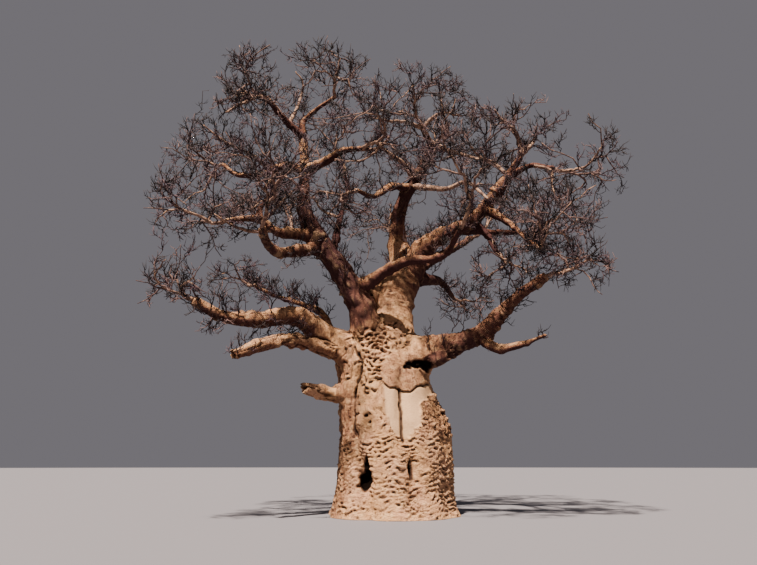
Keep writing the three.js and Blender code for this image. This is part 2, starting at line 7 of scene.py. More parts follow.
import bpy
import numpy as np
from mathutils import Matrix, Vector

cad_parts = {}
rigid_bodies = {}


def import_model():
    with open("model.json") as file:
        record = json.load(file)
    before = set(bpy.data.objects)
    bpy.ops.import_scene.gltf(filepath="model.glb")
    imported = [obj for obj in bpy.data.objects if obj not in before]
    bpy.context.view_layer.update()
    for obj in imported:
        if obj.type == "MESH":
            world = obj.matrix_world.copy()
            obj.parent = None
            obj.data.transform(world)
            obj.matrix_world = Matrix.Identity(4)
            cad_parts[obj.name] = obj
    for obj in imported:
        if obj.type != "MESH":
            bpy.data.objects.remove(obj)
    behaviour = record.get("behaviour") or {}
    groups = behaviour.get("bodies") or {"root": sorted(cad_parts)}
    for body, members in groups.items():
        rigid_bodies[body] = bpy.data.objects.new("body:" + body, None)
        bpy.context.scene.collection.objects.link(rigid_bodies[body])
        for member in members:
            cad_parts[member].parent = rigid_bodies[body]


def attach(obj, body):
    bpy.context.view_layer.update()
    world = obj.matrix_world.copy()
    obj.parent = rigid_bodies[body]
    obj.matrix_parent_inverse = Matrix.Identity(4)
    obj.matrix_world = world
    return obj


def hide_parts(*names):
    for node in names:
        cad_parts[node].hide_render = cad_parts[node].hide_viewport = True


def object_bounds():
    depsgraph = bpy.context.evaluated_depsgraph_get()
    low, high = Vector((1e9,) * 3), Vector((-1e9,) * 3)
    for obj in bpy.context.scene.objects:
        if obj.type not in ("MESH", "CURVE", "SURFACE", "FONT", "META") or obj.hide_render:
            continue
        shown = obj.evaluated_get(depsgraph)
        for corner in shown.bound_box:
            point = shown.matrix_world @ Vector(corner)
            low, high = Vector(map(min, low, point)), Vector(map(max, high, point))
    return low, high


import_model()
cad_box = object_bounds()

# The camera, at the photograph's viewing angle
EYE = (-0.5, -20.0, 1.6)
PITCH = 18.4
LENS = 26.12
SENSOR = 36.0

# The trunk, by height: the x of its middle, its half width and its half depth
TRUNK_STATIONS = (
    (0.0, 0.0, 2.12, 1.98),
    (0.6, 0.0, 2.02, 1.88),
    (1.6, 0.05, 2.0, 1.85),
    (2.7, 0.05, 1.95, 1.8),
    (3.6, -0.15, 1.82, 1.7),
    (4.5, -0.34, 1.68, 1.58),
    (5.4, -0.42, 1.58, 1.38),
    (6.0, -0.42, 1.3, 1.1),
    (6.35, -0.42, 0.9, 0.8),
)
MIDDLE_X = 1
HALF_X = 2
HALF_Y = 3
TRUNK_TOP = TRUNK_STATIONS[-1][0]
# Grooves up the trunk: depth, width in degrees, and the heights and angles round the trunk from +X
# that each passes through
LEFT_GROOVE = ((0.0, -112), (1.2, -118), (2.0, -132), (2.9, -139), (4.0, -128), (5.0, -116), (5.6, -116))
PIT_GROOVE = ((2.8, -119), (4.4, -112))
PANEL_GROOVE = ((2.3, -88), (3.0, -92), (4.4, -93), (5.3, -91))
MIDDLE_GROOVE = ((0.3, -71), (1.7, -76), (2.3, -83), (3.0, -83), (3.9, -74), (5.0, -62))
GROOVES = (
    (0.17, 8, LEFT_GROOVE),
    (0.07, 6, PIT_GROOVE),
    (0.08, 6, PANEL_GROOVE),
    (0.18, 6.5, MIDDLE_GROOVE),
    (0.07, 11, ((0.0, -32), (4.6, -32))),
    (0.16, 12, ((0.0, 12), (5.2, 12))),
    (0.14, 11, ((0.0, 58), (5.4, 58))),
    (0.17, 12, ((0.0, 101), (5.2, 101))),
    (0.13, 11, ((0.0, 146), (5.4, 146))),
    (0.15, 12, ((0.0, 187), (5.0, 187))),
)
GROOVE_FADE = (0.5, 0.3, 0.9)
ROOT_SWELL = (0.16, 0.7)

# Limbs: the middle line of each, and its diameter at its root and at its end
LIMBS = {
    "fork_left": (
        ((-0.6, -0.4, 5.0), (-1.2, -0.9, 7.1), (-1.8, -1.1, 8.2), (-2.75, -1.4, 9.5)),
        (1.15, 0.68),
    ),
    "column_left": (
        ((-2.7, -1.4, 9.4), (-3.2, -1.5, 10.5), (-3.3, -1.5, 12.1), (-3.4, -1.8, 13.7)),
        (0.56, 0.3),
    ),
    "bough_left_top": (((-3.4, -1.8, 13.6), (-3.9, -2.1, 13.9), (-4.6, -2.9, 14.4)), (0.28, 0.17)),
    "bough_top": (
        ((-3.4, -1.8, 13.5), (-3.4, -1.8, 14.2), (-2.9, -1.9, 14.7), (-2.2, -2.2, 15.0)),
        (0.24, 0.15),
    ),
    "bough_cross": (
        ((-3.3, -1.5, 12.2), (-2.6, -1.8, 12.4), (-1.9, -2.1, 12.7), (-1.1, -2.5, 12.6)),
        (0.36, 0.2),
    ),
    "bough_left_upper": (
        ((-3.3, -1.5, 12.2), (-4.0, -1.4, 12.5), (-5.0, -1.3, 12.2), (-6.0, -1.1, 12.3), (-6.6, -1.0, 12.8)),
        (0.32, 0.16),
    ),
    "bough_left_mid": (
        ((-2.6, -1.3, 9.4), (-3.3, -1.7, 9.5), (-4.0, -2.1, 9.4), (-4.8, -2.4, 9.8), (-5.7, -2.9, 9.5)),
        (0.44, 0.18),
    ),
    "bough_left_riser": (((-4.7, -2.4, 9.8), (-4.7, -2.3, 10.3), (-4.4, -2.1, 10.8)), (0.22, 0.15)),
    "bough_left_elbow": (
        ((-2.6, -1.3, 9.2), (-3.26, -2.0, 8.75), (-3.9, -2.85, 8.4), (-4.15, -3.3, 8.5), (-4.25, -3.8, 8.85)),
        (0.46, 0.26),
    ),
    "bough_back_left": (
        ((-2.6, -1.3, 9.3), (-3.0, 0.2, 10.1), (-3.7, 1.6, 10.9), (-4.4, 2.6, 11.6)),
        (0.44, 0.22),
    ),
    "bough_mid_riser": (
        ((-2.2, -1.0, 9.0), (-2.1, -0.4, 10.3), (-1.9, 0.3, 11.8), (-1.8, 0.8, 12.8), (-2.0, 1.1, 13.6)),
        (0.28, 0.16),
    ),
    "bough_left_low": (
        ((-1.2, -0.2, 5.3), (-2.6, -1.0, 6.1), (-3.3, -1.6, 6.5), (-4.3, -2.3, 6.2), (-5.4, -3.0, 6.1),
         (-6.3, -3.5, 6.5)),
        (1.0, 0.3),
    ),
    "bough_left_broken": (
        ((-1.2, -0.3, 5.1), (-2.5, -1.2, 5.5), (-3.6, -2.3, 5.5), (-4.93, -3.6, 4.75)),
        (0.6, 0.36),
    ),
    "stub_left": (((-1.2, -0.3, 4.05), (-2.3, -0.9, 3.95), (-3.0, -1.5, 4.05)), (0.6, 0.36)),
    "bough_left_thin": (
        ((-1.5, 0.1, 5.4), (-2.3, 0.2, 6.4), (-2.65, 0.3, 7.1), (-3.3, 0.65, 7.5), (-4.7, 1.2, 8.1),
         (-5.6, 1.65, 8.65)),
        (0.36, 0.13),
    ),
    "fork_right": (((-0.3, 0.0, 4.75), (-0.05, 0.4, 6.7), (0.05, 0.55, 7.7), (0.65, 0.75, 9.2)), (2.1, 1.34)),
    "bough_centre": (((0.45, 0.7, 8.8), (0.3, 0.6, 10.1), (0.35, 0.3, 11.4), (1.0, -0.1, 12.7)), (0.8, 0.44)),
    "bough_centre_top": (
        ((0.95, -0.1, 12.6), (1.4, -0.3, 13.3), (1.6, -0.5, 13.9), (1.3, -0.8, 14.6)),
        (0.44, 0.22),
    ),
    "bough_mid_left": (
        ((0.7, 0.0, 12.3), (0.0, -0.7, 12.0), (-0.7, -1.4, 11.2), (-1.3, -1.9, 11.2)),
        (0.3, 0.16),
    ),
    "bough_back_top": (((0.35, 0.3, 11.3), (0.6, 1.2, 12.3), (1.1, 1.9, 13.3)), (0.36, 0.22)),
    "bough_right_up": (
        ((0.7, 0.6, 8.9), (1.4, 0.1, 9.8), (2.3, -0.4, 10.2), (3.2, -1.0, 10.5), (4.0, -1.5, 11.4)),
        (0.84, 0.42),
    ),
    "bough_right_reach": (((3.9, -1.45, 11.3), (4.3, -1.7, 11.8), (4.8, -2.1, 12.5)), (0.4, 0.22)),
    "bough_right_tip": (((4.3, -1.7, 11.8), (5.1, -2.3, 12.0), (5.8, -2.7, 11.6)), (0.24, 0.14)),
    "bough_right_hang": (((3.1, -0.9, 10.4), (3.5, -1.4, 9.6), (3.7, -1.9, 8.7)), (0.3, 0.17)),
    "bough_right_out": (
        ((3.5, -1.2, 10.8), (4.25, -1.75, 9.95), (4.65, -2.15, 9.2), (4.95, -2.6, 8.65)),
        (0.28, 0.13),
    ),
    "bough_right_back": (((2.6, -0.6, 10.3), (3.8, 0.1, 10.4), (5.2, 0.6, 10.6)), (0.36, 0.18)),
    "bough_back_right": (((0.7, 0.8, 8.8), (1.8, 1.6, 9.8), (3.0, 2.3, 10.7), (3.7, 2.8, 11.3)), (0.5, 0.24)),
    "bough_right_behind": (
        ((0.6, 0.8, 8.6), (1.5, 1.4, 8.85), (2.2, 2.4, 9.05), (2.8, 3.25, 8.65)),
        (0.58, 0.2),
    ),
    "bough_front": (
        ((-1.5, -0.95, 7.45), (-0.95, -1.15, 7.8), (-0.3, -1.5, 8.15), (0.5, -1.9, 8.4), (1.7, -2.4, 8.4),
         (2.2, -3.4, 9.0)),
        (0.5, 0.18),
    ),
    "fork_back": (((-0.3, 0.5, 5.0), (-0.3, 1.5, 6.6), (0.1, 2.2, 7.9), (0.5, 3.0, 9.2)), (1.0, 0.5)),
    "bough_back": (((0.5, 2.95, 9.1), (0.7, 3.8, 9.9), (0.5, 4.8, 10.8)), (0.46, 0.24)),
    "bough_right_low": (
        ((-0.1, -0.1, 5.2), (1.2, -0.6, 5.4), (2.2, -0.9, 5.68), (3.2, -1.2, 5.9)),
        (1.56, 0.58),
    ),
    "bough_right_rise": (
        ((3.15, -1.2, 5.9), (3.6, -1.5, 6.45), (4.3, -1.9, 7.1), (5.2, -2.4, 7.7)),
        (0.58, 0.3),
    ),
    "bough_right_dead": (
        ((3.0, -1.1, 5.9), (3.5, -1.7, 5.35), (4.2, -2.0, 5.4), (5.0, -2.4, 5.65)),
        (0.4, 0.12),
    ),
    "stub_right": (((0.4, -0.4, 4.95), (1.4, -1.0, 5.05), (2.0, -1.3, 5.2)), (0.7, 0.36)),
}
# The bark that fills the crotch between the two forks: its middle line and its diameter at each end
WEB = (((-1.2, -0.5, 6.9), (-0.9, -0.1, 7.5), (-0.6, 0.25, 8.05)), (0.9, 0.55))
LIMB_TAPER = 0.85
ROOT_FLARE = (0.45, 0.9)

# Masses of twigs: the bough whose tip each grows from, and the middle and half sizes of its space
MASSES = {
    "mass_left_low": ("bough_left_low", (-6.8, -4.0, 6.7), (1.1, 1.3, 1.1)),
    "mass_left_mid": ("bough_left_mid", (-6.3, -3.5, 9.7), (1.8, 2.2, 1.7)),
    "mass_left_riser": ("bough_left_riser", (-4.6, -2.2, 11.6), (1.8, 1.8, 1.5)),
    "mass_left_front": ("bough_left_elbow", (-4.0, -5.0, 10.1), (2.0, 2.0, 1.7)),
    "mass_left_upper": ("bough_left_upper", (-6.9, -0.9, 12.6), (2.0, 2.5, 2.1)),
    "mass_left_top": ("bough_left_top", (-4.8, -3.0, 14.2), (2.0, 2.3, 1.8)),
    "mass_top": ("bough_top", (-2.4, -2.6, 14.9), (2.0, 2.4, 1.8)),
    "mass_cross": ("bough_cross", (-0.7, -3.9, 12.1), (2.1, 2.4, 1.9)),
    "mass_left_thin": ("bough_left_thin", (-6.4, 2.4, 9.1), (1.6, 1.8, 1.1)),
    "mass_centre": ("bough_centre_top", (0.9, -1.5, 14.7), (2.6, 2.5, 1.9)),
    "mass_mid_left": ("bough_mid_left", (-1.8, -2.5, 10.7), (1.6, 1.8, 1.5)),
    "mass_mid_riser": ("bough_mid_riser", (-2.4, 1.7, 14.8), (2.6, 2.5, 2.1)),
    "mass_back_left": ("bough_back_left", (-5.4, 3.5, 13.0), (2.8, 2.9, 2.1)),
    "mass_right_top": ("bough_right_reach", (4.5, -2.4, 12.8), (2.2, 2.3, 1.7)),
    "mass_right_tip": ("bough_right_tip", (6.3, -3.0, 11.3), (1.8, 2.3, 1.8)),
    "mass_right_hang": ("bough_right_hang", (3.9, -2.7, 7.8), (1.5, 1.4, 1.1)),
    "mass_right_out": ("bough_right_out", (5.3, -3.6, 9.4), (1.6, 1.8, 1.3)),
    "mass_right_back": ("bough_right_back", (6.5, 1.0, 11.0), (1.9, 2.5, 2.0)),
    "mass_right_low": ("bough_right_rise", (5.95, -2.85, 7.8), (1.4, 1.7, 1.2)),
    "mass_right_behind": ("bough_right_behind", (3.4, 4.1, 8.75), (1.6, 1.7, 1.1)),
    "mass_back_right": ("bough_back_right", (4.5, 3.5, 12.9), (2.8, 2.8, 2.2)),
    "mass_back_top": ("bough_back_top", (1.7, 2.5, 14.7), (2.7, 2.6, 2.1)),
    "mass_back": ("bough_back", (0.2, 5.5, 12.8), (2.8, 2.3, 1.9)),
    "mass_front": ("bough_front", (1.9, -5.0, 10.5), (2.6, 2.2, 1.9)),
}
# How branches grow, the same as in the solids
SEED = 101
SEED_STEP = 17
TIPS = 15
CHOICES = 7
LOWEST = -0.7
OUTWARD = 0.45
RIM = 1.001
EDGE = 0.06
AXIS_TURNS = 6
CHECK_STEP = 0.12
LIMB_GAP = 0.05
WORD = 0xFFFFFFFF
COARSE_FORK = (1.15, 0.85)
COARSE_TIP_SHARE = 0.5
# How the finer twigs carry on from them, in sprays
CROWN_SEED = 40
FULL = 0.99
BOX_SPARE = 0.05
COARSE_BEND = 0.07
FINE_SHARE = 0.8
FINE_FORK = (1.1, 0.95)
TIP_SHARE = 0.6
NODE_STEP = 0.26
NODE_LOOK = 0.1
STEM_NODES_FROM = 0.25
BOUGH_NODES_FROM = 0.8
BOUGH_NODE_STEP = 0.45
BOUGH_SPRAYS = 0.6
SPRAY_REACH = (0.6, 1.15)
SPRAY_TIPS = (6, 11)
SPRAY_RISE = 0.25
FAN_WIDTH = 0.85
FAN_DEPTH = 0.35
FAN_RISE = 0.22
FAN_JITTER = (0.15, 0.85)
FAN_REACH = (0.6, 1.0)
FAN_ROUND = 0.25
SIDE_REFERENCE = (0.3, 0.2, 1.0)
OUTER_DEPTHS = (0.35, 0.8)
INNER_SHARE = 0.55
INNER_DEPTH = 0.5
INNER_REACH = 0.75
GOLDEN_TURN = 2.4
LEAST_OUTWARD = 0.1
END_AXIS = (1, 0.35, 0.2)
ASIDE_AXIS = (0.5, 0.85, 0.5)
SPUR_GAP = 0.19
SPUR_LENGTH = (0.08, 0.26)
SPUR_RADIUS = 0.0115
SPUR_PLACES = (0.1, 1.0)
SPUR_AHEAD = 0.7
SPUR_ASIDE = 0.8
SPUR_UP = 0.25
SPUR_MIDDLE = 0.55
SPUR_TURN_UP = 0.22
SPUR_SHARE = 0.8
SPUR_TAPER = (1, 0.85, 0.5)
TWIG_CLEAR = 0.02
BEND_OVER = 0.16
BEND_SHARE = 0.16
STEM_SIDES = 6
FINE_SIDES = 3

# How finely the bark is made
TRUNK_STEP = 0.05
TRUNK_SIDES = 240
STOUT_STEP = 0.08
STOUT_SIDES = 28
SLIM_STEP = 0.05
SLIM_SIDES = 14
BOUGH_LUMPS = (0.1, 0.3, 141)
BOUGH_END = 0.5
VOXEL = 0.0365
RELAX_TURNS = 5
SHRINK = 0.5
SWELL = -0.51
SUNK_BLUR = 2
CURVE_STEPS = 60
HEADING_STEP = 0.01
FAR = 9.0
OTHER_RADIUS = 0.3
SADDLE_SHARE = 1.2
SADDLE_MOST = 0.55
SADDLE_LEAST = 0.05
SADDLE_TURN = 1.3
TRUNK_WAY_RISE = 0.35
SUNK_DEPTH = 0.006
TRUNK_OFFSET = 0.2
TRUNK_RADIUS = 1.8
KNOT_SEED = 31
KNOT_GAP = 0.45
KNOT_SIZE = (0.35, 0.8)
KNOT_WIDEST = 0.22
KNOT_LEAST = 0.02
KNOT_STRAY = 0.4
KNOT_TURN = 6.28
KNOT_RISE = (0.3, 0.75)
FINDER_STEP = 0.05
FINDER_REACH = 0.5
ROOT_PART = 1.3
# How brown the bark is at each limb's root and at its end: 0 or less for tan, 1 for brown
# and 2 for the darkest. The values near 2 on fork_left, column_left, bough_right_hang, bough_right_behind and
# bough_mid_riser are painted shadow of the crown. OTHER_BROWN is for those not named, and the brown added
# underneath is painted shade.
BROWNNESS = {
    "fork_left": (0.5, 2.1), "column_left": (2.3, 0.1), "fork_right": (0.15, 0.35),
    "bough_left_low": (0.1, 0.45),
    "bough_left_broken": (-0.5, 0.1), "stub_left": (-1.5, -1.2), "bough_left_thin": (0.3, 0.5),
    "bough_centre": (0.1, 1.7), "bough_right_up": (0.6, 0.8), "bough_right_low": (0.3, 1.0),
    "bough_right_rise": (0.9, 0.9), "bough_right_dead": (0.3, 0.6), "stub_right": (0.9, 1.2),
    "fork_back": (0.6, 1.2), "bough_cross": (0.1, 0.6), "bough_left_mid": (0.5, 0.4),
    "bough_left_elbow": (0.8, 0.7), "bough_right_hang": (1.9, 1.9), "bough_right_behind": (1.9, 1.9),
    "bough_mid_riser": (2.2, 1.6), "bough_centre_top": (2.1, 1.0), "bough_mid_left": (0.6, 0.3),
    "bough_front": (0.6, 0.9), "bough_left_upper": (0.4, 0.4), "bough_right_reach": (0.6, 0.9),
    "bough_right_out": (0.6, 0.6), "bough_left_top": (1.3, 0.7), "bough_top": (0.8, 0.6),
}
OTHER_BROWN = (1.0, 1.2)
UNDERSIDE_SHADE = 1.3
UNDER_TILT = (-0.1, 0.65)
BROWN_BLUR = 6
LABEL_BLUR = 14
LIMB_RUST = 0.5
FROM_TRUNK = (
    "fork_left", "fork_right", "fork_back", "bough_left_low", "bough_left_broken", "stub_left",
    "bough_right_low", "stub_right",
)
BROKEN = ("bough_left_broken", "stub_left", "stub_right")
RUSTY = ("bough_left_broken", "bough_right_rise")
FIBROUS = ("fork_left", "column_left", "bough_centre")
BARK_GROUPS = {
    "bark_left": (
        "fork_left", "column_left", "bough_left_mid", "bough_left_elbow", "bough_back_left",
        "bough_left_low", "bough_left_broken", "stub_left",
    ),
    "bark_right": (
        "fork_right", "bough_centre", "bough_centre_top", "bough_right_up", "bough_right_low",
        "bough_right_rise", "stub_right",
    ),
    "bark_back": ("bough_back_right", "bough_right_behind", "fork_back", "bough_back"),
}
STOUT = tuple(name for group in BARK_GROUPS.values() for name in group)

# The torn edge of the old bark over the smooth panels: angle round the trunk, and height
CRACK = (
    (-94, 4.38), (-91, 4.19), (-86, 4.06), (-78, 4.1), (-71, 3.94), (-63, 3.95), (-51, 4.14), (-17, 4.36),
)
# The outer edges of the two smooth panels under it, and the middle and half width of the crumpled
# bark over the fork: heights and angles
PANEL_LEFT = ((2.4, -87), (2.6, -91), (2.8, -94), (3.1, -96.3), (3.7, -94.2), (4.3, -92.4))
PANEL_RIGHT = (
    (2.2, -80), (2.4, -78), (2.55, -76), (2.67, -71), (2.9, -64), (3.3, -61), (3.5, -57), (3.65, -48),
    (3.8, -32), (3.9, -18),
)
CRUMPLE_MIDDLE = ((4.4, -101), (5.2, -98), (5.7, -97), (6.3, -99))
CRUMPLE_HALF = ((4.3, 5), (4.8, 10), (5.2, 14), (5.65, 20), (6.3, 22))
# The narrow bottoms of grooves, painted dark as shade, each with its width in degrees and its lowest and
# highest point
LEFT_CREVICE = (
    (2.0, -124), (2.45, -133), (2.7, -139), (3.2, -137), (3.9, -131), (4.3, -123.5), (4.75, -117.5),
    (4.97, -115.5), (5.2, -119.5), (5.6, -127),
)
CREVICES = (
    (LEFT_CREVICE, 1.7, 2.4, 5.6),
    (MIDDLE_GROOVE, 1.0, 2.3, 4.05),
    (MIDDLE_GROOVE, 1.5, 1.15, 1.75),
)
# Hollows in the bark, filled with painted shadow: middle, size along each axis, and depth
HOLLOWS = (
    ((-0.93, -1.62, 1.15), (0.16, 0.6, 0.33), 0.4),
    ((-0.93, -1.62, 1.6), (0.09, 0.5, 0.28), 0.14),
    ((0.5, -1.22, 4.77), (0.17, 0.9, 0.085), 0.06),
    ((0.6, -1.18, 4.9), (0.17, 0.9, 0.1), 0.08),
    ((0.85, -1.05, 4.92), (0.28, 0.9, 0.13), 0.1),
    ((1.15, -0.9, 4.86), (0.2, 0.9, 0.17), 0.1),
    ((-1.16, -1.45, 3.22), (0.06, 0.3, 0.04), 0.06),
    ((-0.92, -1.45, 3.17), (0.07, 0.3, 0.05), 0.06),
    ((-1.2, -1.4, 3.74), (0.04, 0.3, 0.06), 0.05),
    ((-1.02, -1.45, 4.13), (0.06, 0.3, 0.04), 0.05),
    ((-1.13, -1.45, 3.5), (0.05, 0.3, 0.03), 0.04),
    ((-0.8, -1.5, 2.95), (0.05, 0.3, 0.05), 0.05),
)
NUBS = (((1.4, -0.8, 3.82), (0.12, 0.2, 0.12), 0.1),)

# Bark folds. A bend is the size of its lumps, its amount and its seed. Folds are their height, their
# width and their seed. A noise is the size of its lumps, its seed and its octaves.
ROW_SWAY = 0.9
ROW_WOBBLE = 0.5
FOLD_SHIFT = 0.6
POCKET_REACH = (0.42, 0.4)
POCKET_DROP = (0.18, 0.14)
POCKET_SAG = 0.3
POCKET_HEIGHT = 0.15
LIP_WIDER = 1.15
LIP_ABOVE = 0.32
LIP_HEIGHT = 0.2
CRUMPLE_BENDS = ((0.5, 0.16, 70), (0.18, 0.04, 76))
CRUMPLE_FOLDS = (0.185, 0.33, 11)
CRUMPLE_FINER_BENDS = ((0.3, 0.08, 74),)
CRUMPLE_FINER_FOLDS = (0.15, 0.27, 15)
CRUMPLE_SWELL = (0.3, 31, 2)
WRINKLE_BENDS = ((0.42, 0.13, 80), (0.16, 0.035, 86))
WRINKLE_FOLDS = (0.155, 0.36, 21)
WRINKLE_FINER_BENDS = ((0.3, 0.1, 84),)
WRINKLE_FINER_FOLDS = (0.1, 0.24, 27)
WRINKLE_PATCH = (0.45, 23, 2)
WRINKLE_SWELL = (0.33, 33, 2)
WRINKLE_PITS = (0.14, 37, 2)
COLUMN_BENDS = ((0.6, 0.17, 90),)
COLUMN_FIELD = (0.3, 51, 3)
COLUMN_SEAMS = (0.36, 55, 2)
COLUMN_FINER_SEAMS = (0.17, 58, 2)
COLUMN_PITS = (0.17, 61, 2)
COLUMN_FOLD_BENDS = ((0.35, 0.12, 94),)
COLUMN_FOLDS = (0.26, 0.22, 63)
COLUMN_PLACES = (0.4, 65, 2)
FLAKE_BENDS = ((0.4, 0.15, 75),)
FLAKE_SCALES = (0.19, 71, 2)
HOLLOW_BENDS = ((0.16, 0.045, 97),)
HOLLOW_EDGE = 1.6
# How far those kinds of bark stand in or out, and how dark the painted shade in their pockets, pits and seams
# is: for crumples their swell, lips, finer lips, pockets and finer pockets, and for columns their field,
# pits, seams and folds
CRUMPLE_HEIGHTS = (0.03, 0.08, 0.03, -0.13, -0.05)
CRUMPLE_DARKS = (1.3, 0.7)
CRUMPLE_DARKEST = 1.5
WRINKLE_HEIGHTS = (0.04, 0.022, -0.055, -0.035)
WRINKLE_PLAIN_HEIGHTS = (1, 0.02, -0.03)
WRINKLE_LEAST = 0.35
WRINKLE_DARKS = (1.0, 0.8)
WRINKLE_PIT_DARK = 0.8
WRINKLE_DARK = 0.8
COLUMN_HEIGHTS = (0.07, -0.06, -0.04, 1)
COLUMN_FOLD_HEIGHTS = (0.04, -0.06)
COLUMN_DARKS = (1, 0.8, 1.1)
COLUMN_DARKEST = 1.2

# Where each kind of bark lies on the trunk: heights, and degrees round it
CREVICE_ENDS = 0.12
BROKEN_TURNS = (-150, -100, 3)
PANEL_FOOT = (2.35, 2.6)
FLAKY_TURNS = (-68, -6, 4)
FLAKY_LEVELS = (2.5, 3.95, 0.12)
CRUMPLE_EDGE = (-3, 4)
CRUMPLE_LEVELS = (4.4, 6.95, 0.2)
WRINKLE_TOP = (2.3, 2.9)
APRON_TURNS = (-92, -20, 4)
APRON_TOP = (5.1, 5.7)
RIM_TURNS = (-93, -18, 2)
RIM_DROP = 0.02
RIM_HEIGHT = 0.035
SHADED_EDGES = ((-146, -126), (0, 30))
LEFT_TURNS = (-168, -122, 6)
LEFT_LEVELS = (2.3, 5.6, 0.4)
TRUNK_EDGE = (0.1, 0.55)
# How far parts of the trunk's bark stand in or out, and how dark the painted shade in its folds, crevices and
# pits is
RIM_SUNK = 0.05
CREVICE_DEPTH = 0.1
PANEL_SUNK = 0.03
APRON_RAISED = 0.02
FOOT_SWELL = (0.6, 81, 2)
FOOT_SWELL_HEIGHT = 0.03
CREVICE_DARK = 1.4
PIT_DARK = 0.95
# How brown it is in the shade, and how much is added in the crumples, at the foot, on plain bark, on
# the apron and on the left
TRUNK_BROWNS = (0.75, 0.15, -0.25, -0.3, 0.42, 0.28)

# Limbs' bark: the stretch of its noise along and across each limb, the sizes of its noises and the
# places of its knots and broken ends
FIBRE_STRETCH = (0.55, 1.7, 1.7)
RING_STRETCH = (1.9, 1, 1)
CRACK_STRETCH = (0.45, 1.7, 1.7)
STRIPE_STRETCH = (3.4, 0.8, 0.8)
LIMB_SWELL = (0.55, 101, 2)
LIMB_RINGS = (0.22, 111, 2)
LIMB_CRACKS = (0.3, 115, 2)
LIMB_STRIPES = (0.26, 113, 2)
LIMB_STRIPE_PLACES = (0.5, 117, 2)
LIMB_APART = 7.3
SWELL_SHARE = 0.16
SWELL_LIMITS = (0.008, 0.06)
RING_SHARE = 0.09
RING_LIMITS = (0.006, 0.03)
KNOT_REACH = 0.4
END_WIDER = 1.7
END_AHEAD = 0.3
END_BEHIND = -0.1
END_JAGS = (0.1, 131, 2)
END_PIT_SHARE = 0.6

# Colours, and how much each kind of bark shines
TAN = (0.376, 0.205, 0.105)
PINK = (0.376, 0.205, 0.125)
PALE = (0.435, 0.282, 0.171)
# SAND_AND_HIGHLIGHT is sandy patches, and a painted highlight on the edges that stand out
SAND_AND_HIGHLIGHT = (0.45, 0.285, 0.162)
RUSSET = (0.205, 0.1, 0.056)
BROWN = (0.112, 0.049, 0.037)
# UMBER_AND_SHADOW is the colour of dark streaks and specks, and of the painted shadow on the darkest limbs
# and undersides
UMBER_AND_SHADOW = (0.04, 0.0175, 0.0175)
RUST = (0.124, 0.05, 0.03)
# Painted shade in folds, crevices, pits and sunken places
CREASE_SHADE = (0.022, 0.01, 0.008)
# Painted shadow inside the hollows
HOLLOW_SHADOW = (0.003, 0.0015, 0.001)
SHADE = (0.45, 0.38, 0.34)
FLOOR = (0.112, 0.107, 0.127)
BARK_SHEEN = 0.03
BRANCH_SHEEN = 0.2
TWIG_SHEEN = 0.25
AIR = (0.96, 0.91, 1.0)
AIR_STRENGTH = 0.18

# Lights: azimuth, elevation, strength, colour and spread in degrees
KEY = (-22, 58, 20.5, (1.0, 0.87, 0.71), 1.6)
FILL = (50, 20, 0.1, (0.9, 0.94, 1.0), 60)

# Branches: their tones, each dark and light, and the radii between which they change
BRANCH_TONES = (
    ((0.03, 0.0165, 0.018), (0.085, 0.048, 0.045)),
    ((0.052, 0.028, 0.026), (0.165, 0.096, 0.075)),
    ((0.072, 0.038, 0.031), (0.245, 0.148, 0.106)),
)
TONE_RADII = (0.034, 0.055)

# Twigs: their tones, each dark and light, how common each is, and the masses of each piece
TONES = (
    ((0.008, 0.0045, 0.0055), (0.023, 0.0125, 0.015)),
    ((0.024, 0.013, 0.0185), (0.062, 0.034, 0.044)),
    ((0.05, 0.028, 0.03), (0.135, 0.078, 0.074)),
)
TONE_SHARES = (0.55, 0.3, 0.15)
TWIG_GROUPS = {
    "twigs_left": (
        "mass_left_low", "mass_left_mid", "mass_left_riser", "mass_left_front", "mass_left_upper",
        "mass_left_thin",
    ),
    "twigs_top": (
        "mass_left_top", "mass_top", "mass_cross", "mass_centre", "mass_mid_left", "mass_mid_riser",
    ),
    "twigs_right": (
        "mass_right_top", "mass_right_tip", "mass_right_hang", "mass_right_out", "mass_right_back",
        "mass_right_low", "mass_front",
    ),
    "twigs_back": (
        "mass_back_left", "mass_right_behind", "mass_back_right", "mass_back_top", "mass_back",
    ),
}
# How thickly sprays stand on the branches of some masses; 1 for those not named
THICKNESS = {
    "mass_left_top": 1.6, "mass_top": 0.9, "mass_left_upper": 1.4, "mass_left_mid": 1.1, "mass_left_low": 1.2,
    "mass_left_thin": 1.05, "mass_left_riser": 0.85, "mass_cross": 0.75, "mass_mid_left": 0.75,
    "mass_right_tip": 0.95, "mass_right_low": 1.2, "mass_right_out": 0.95, "mass_right_behind": 1.1,
    "mass_centre": 1.1, "mass_mid_riser": 0.8,
}
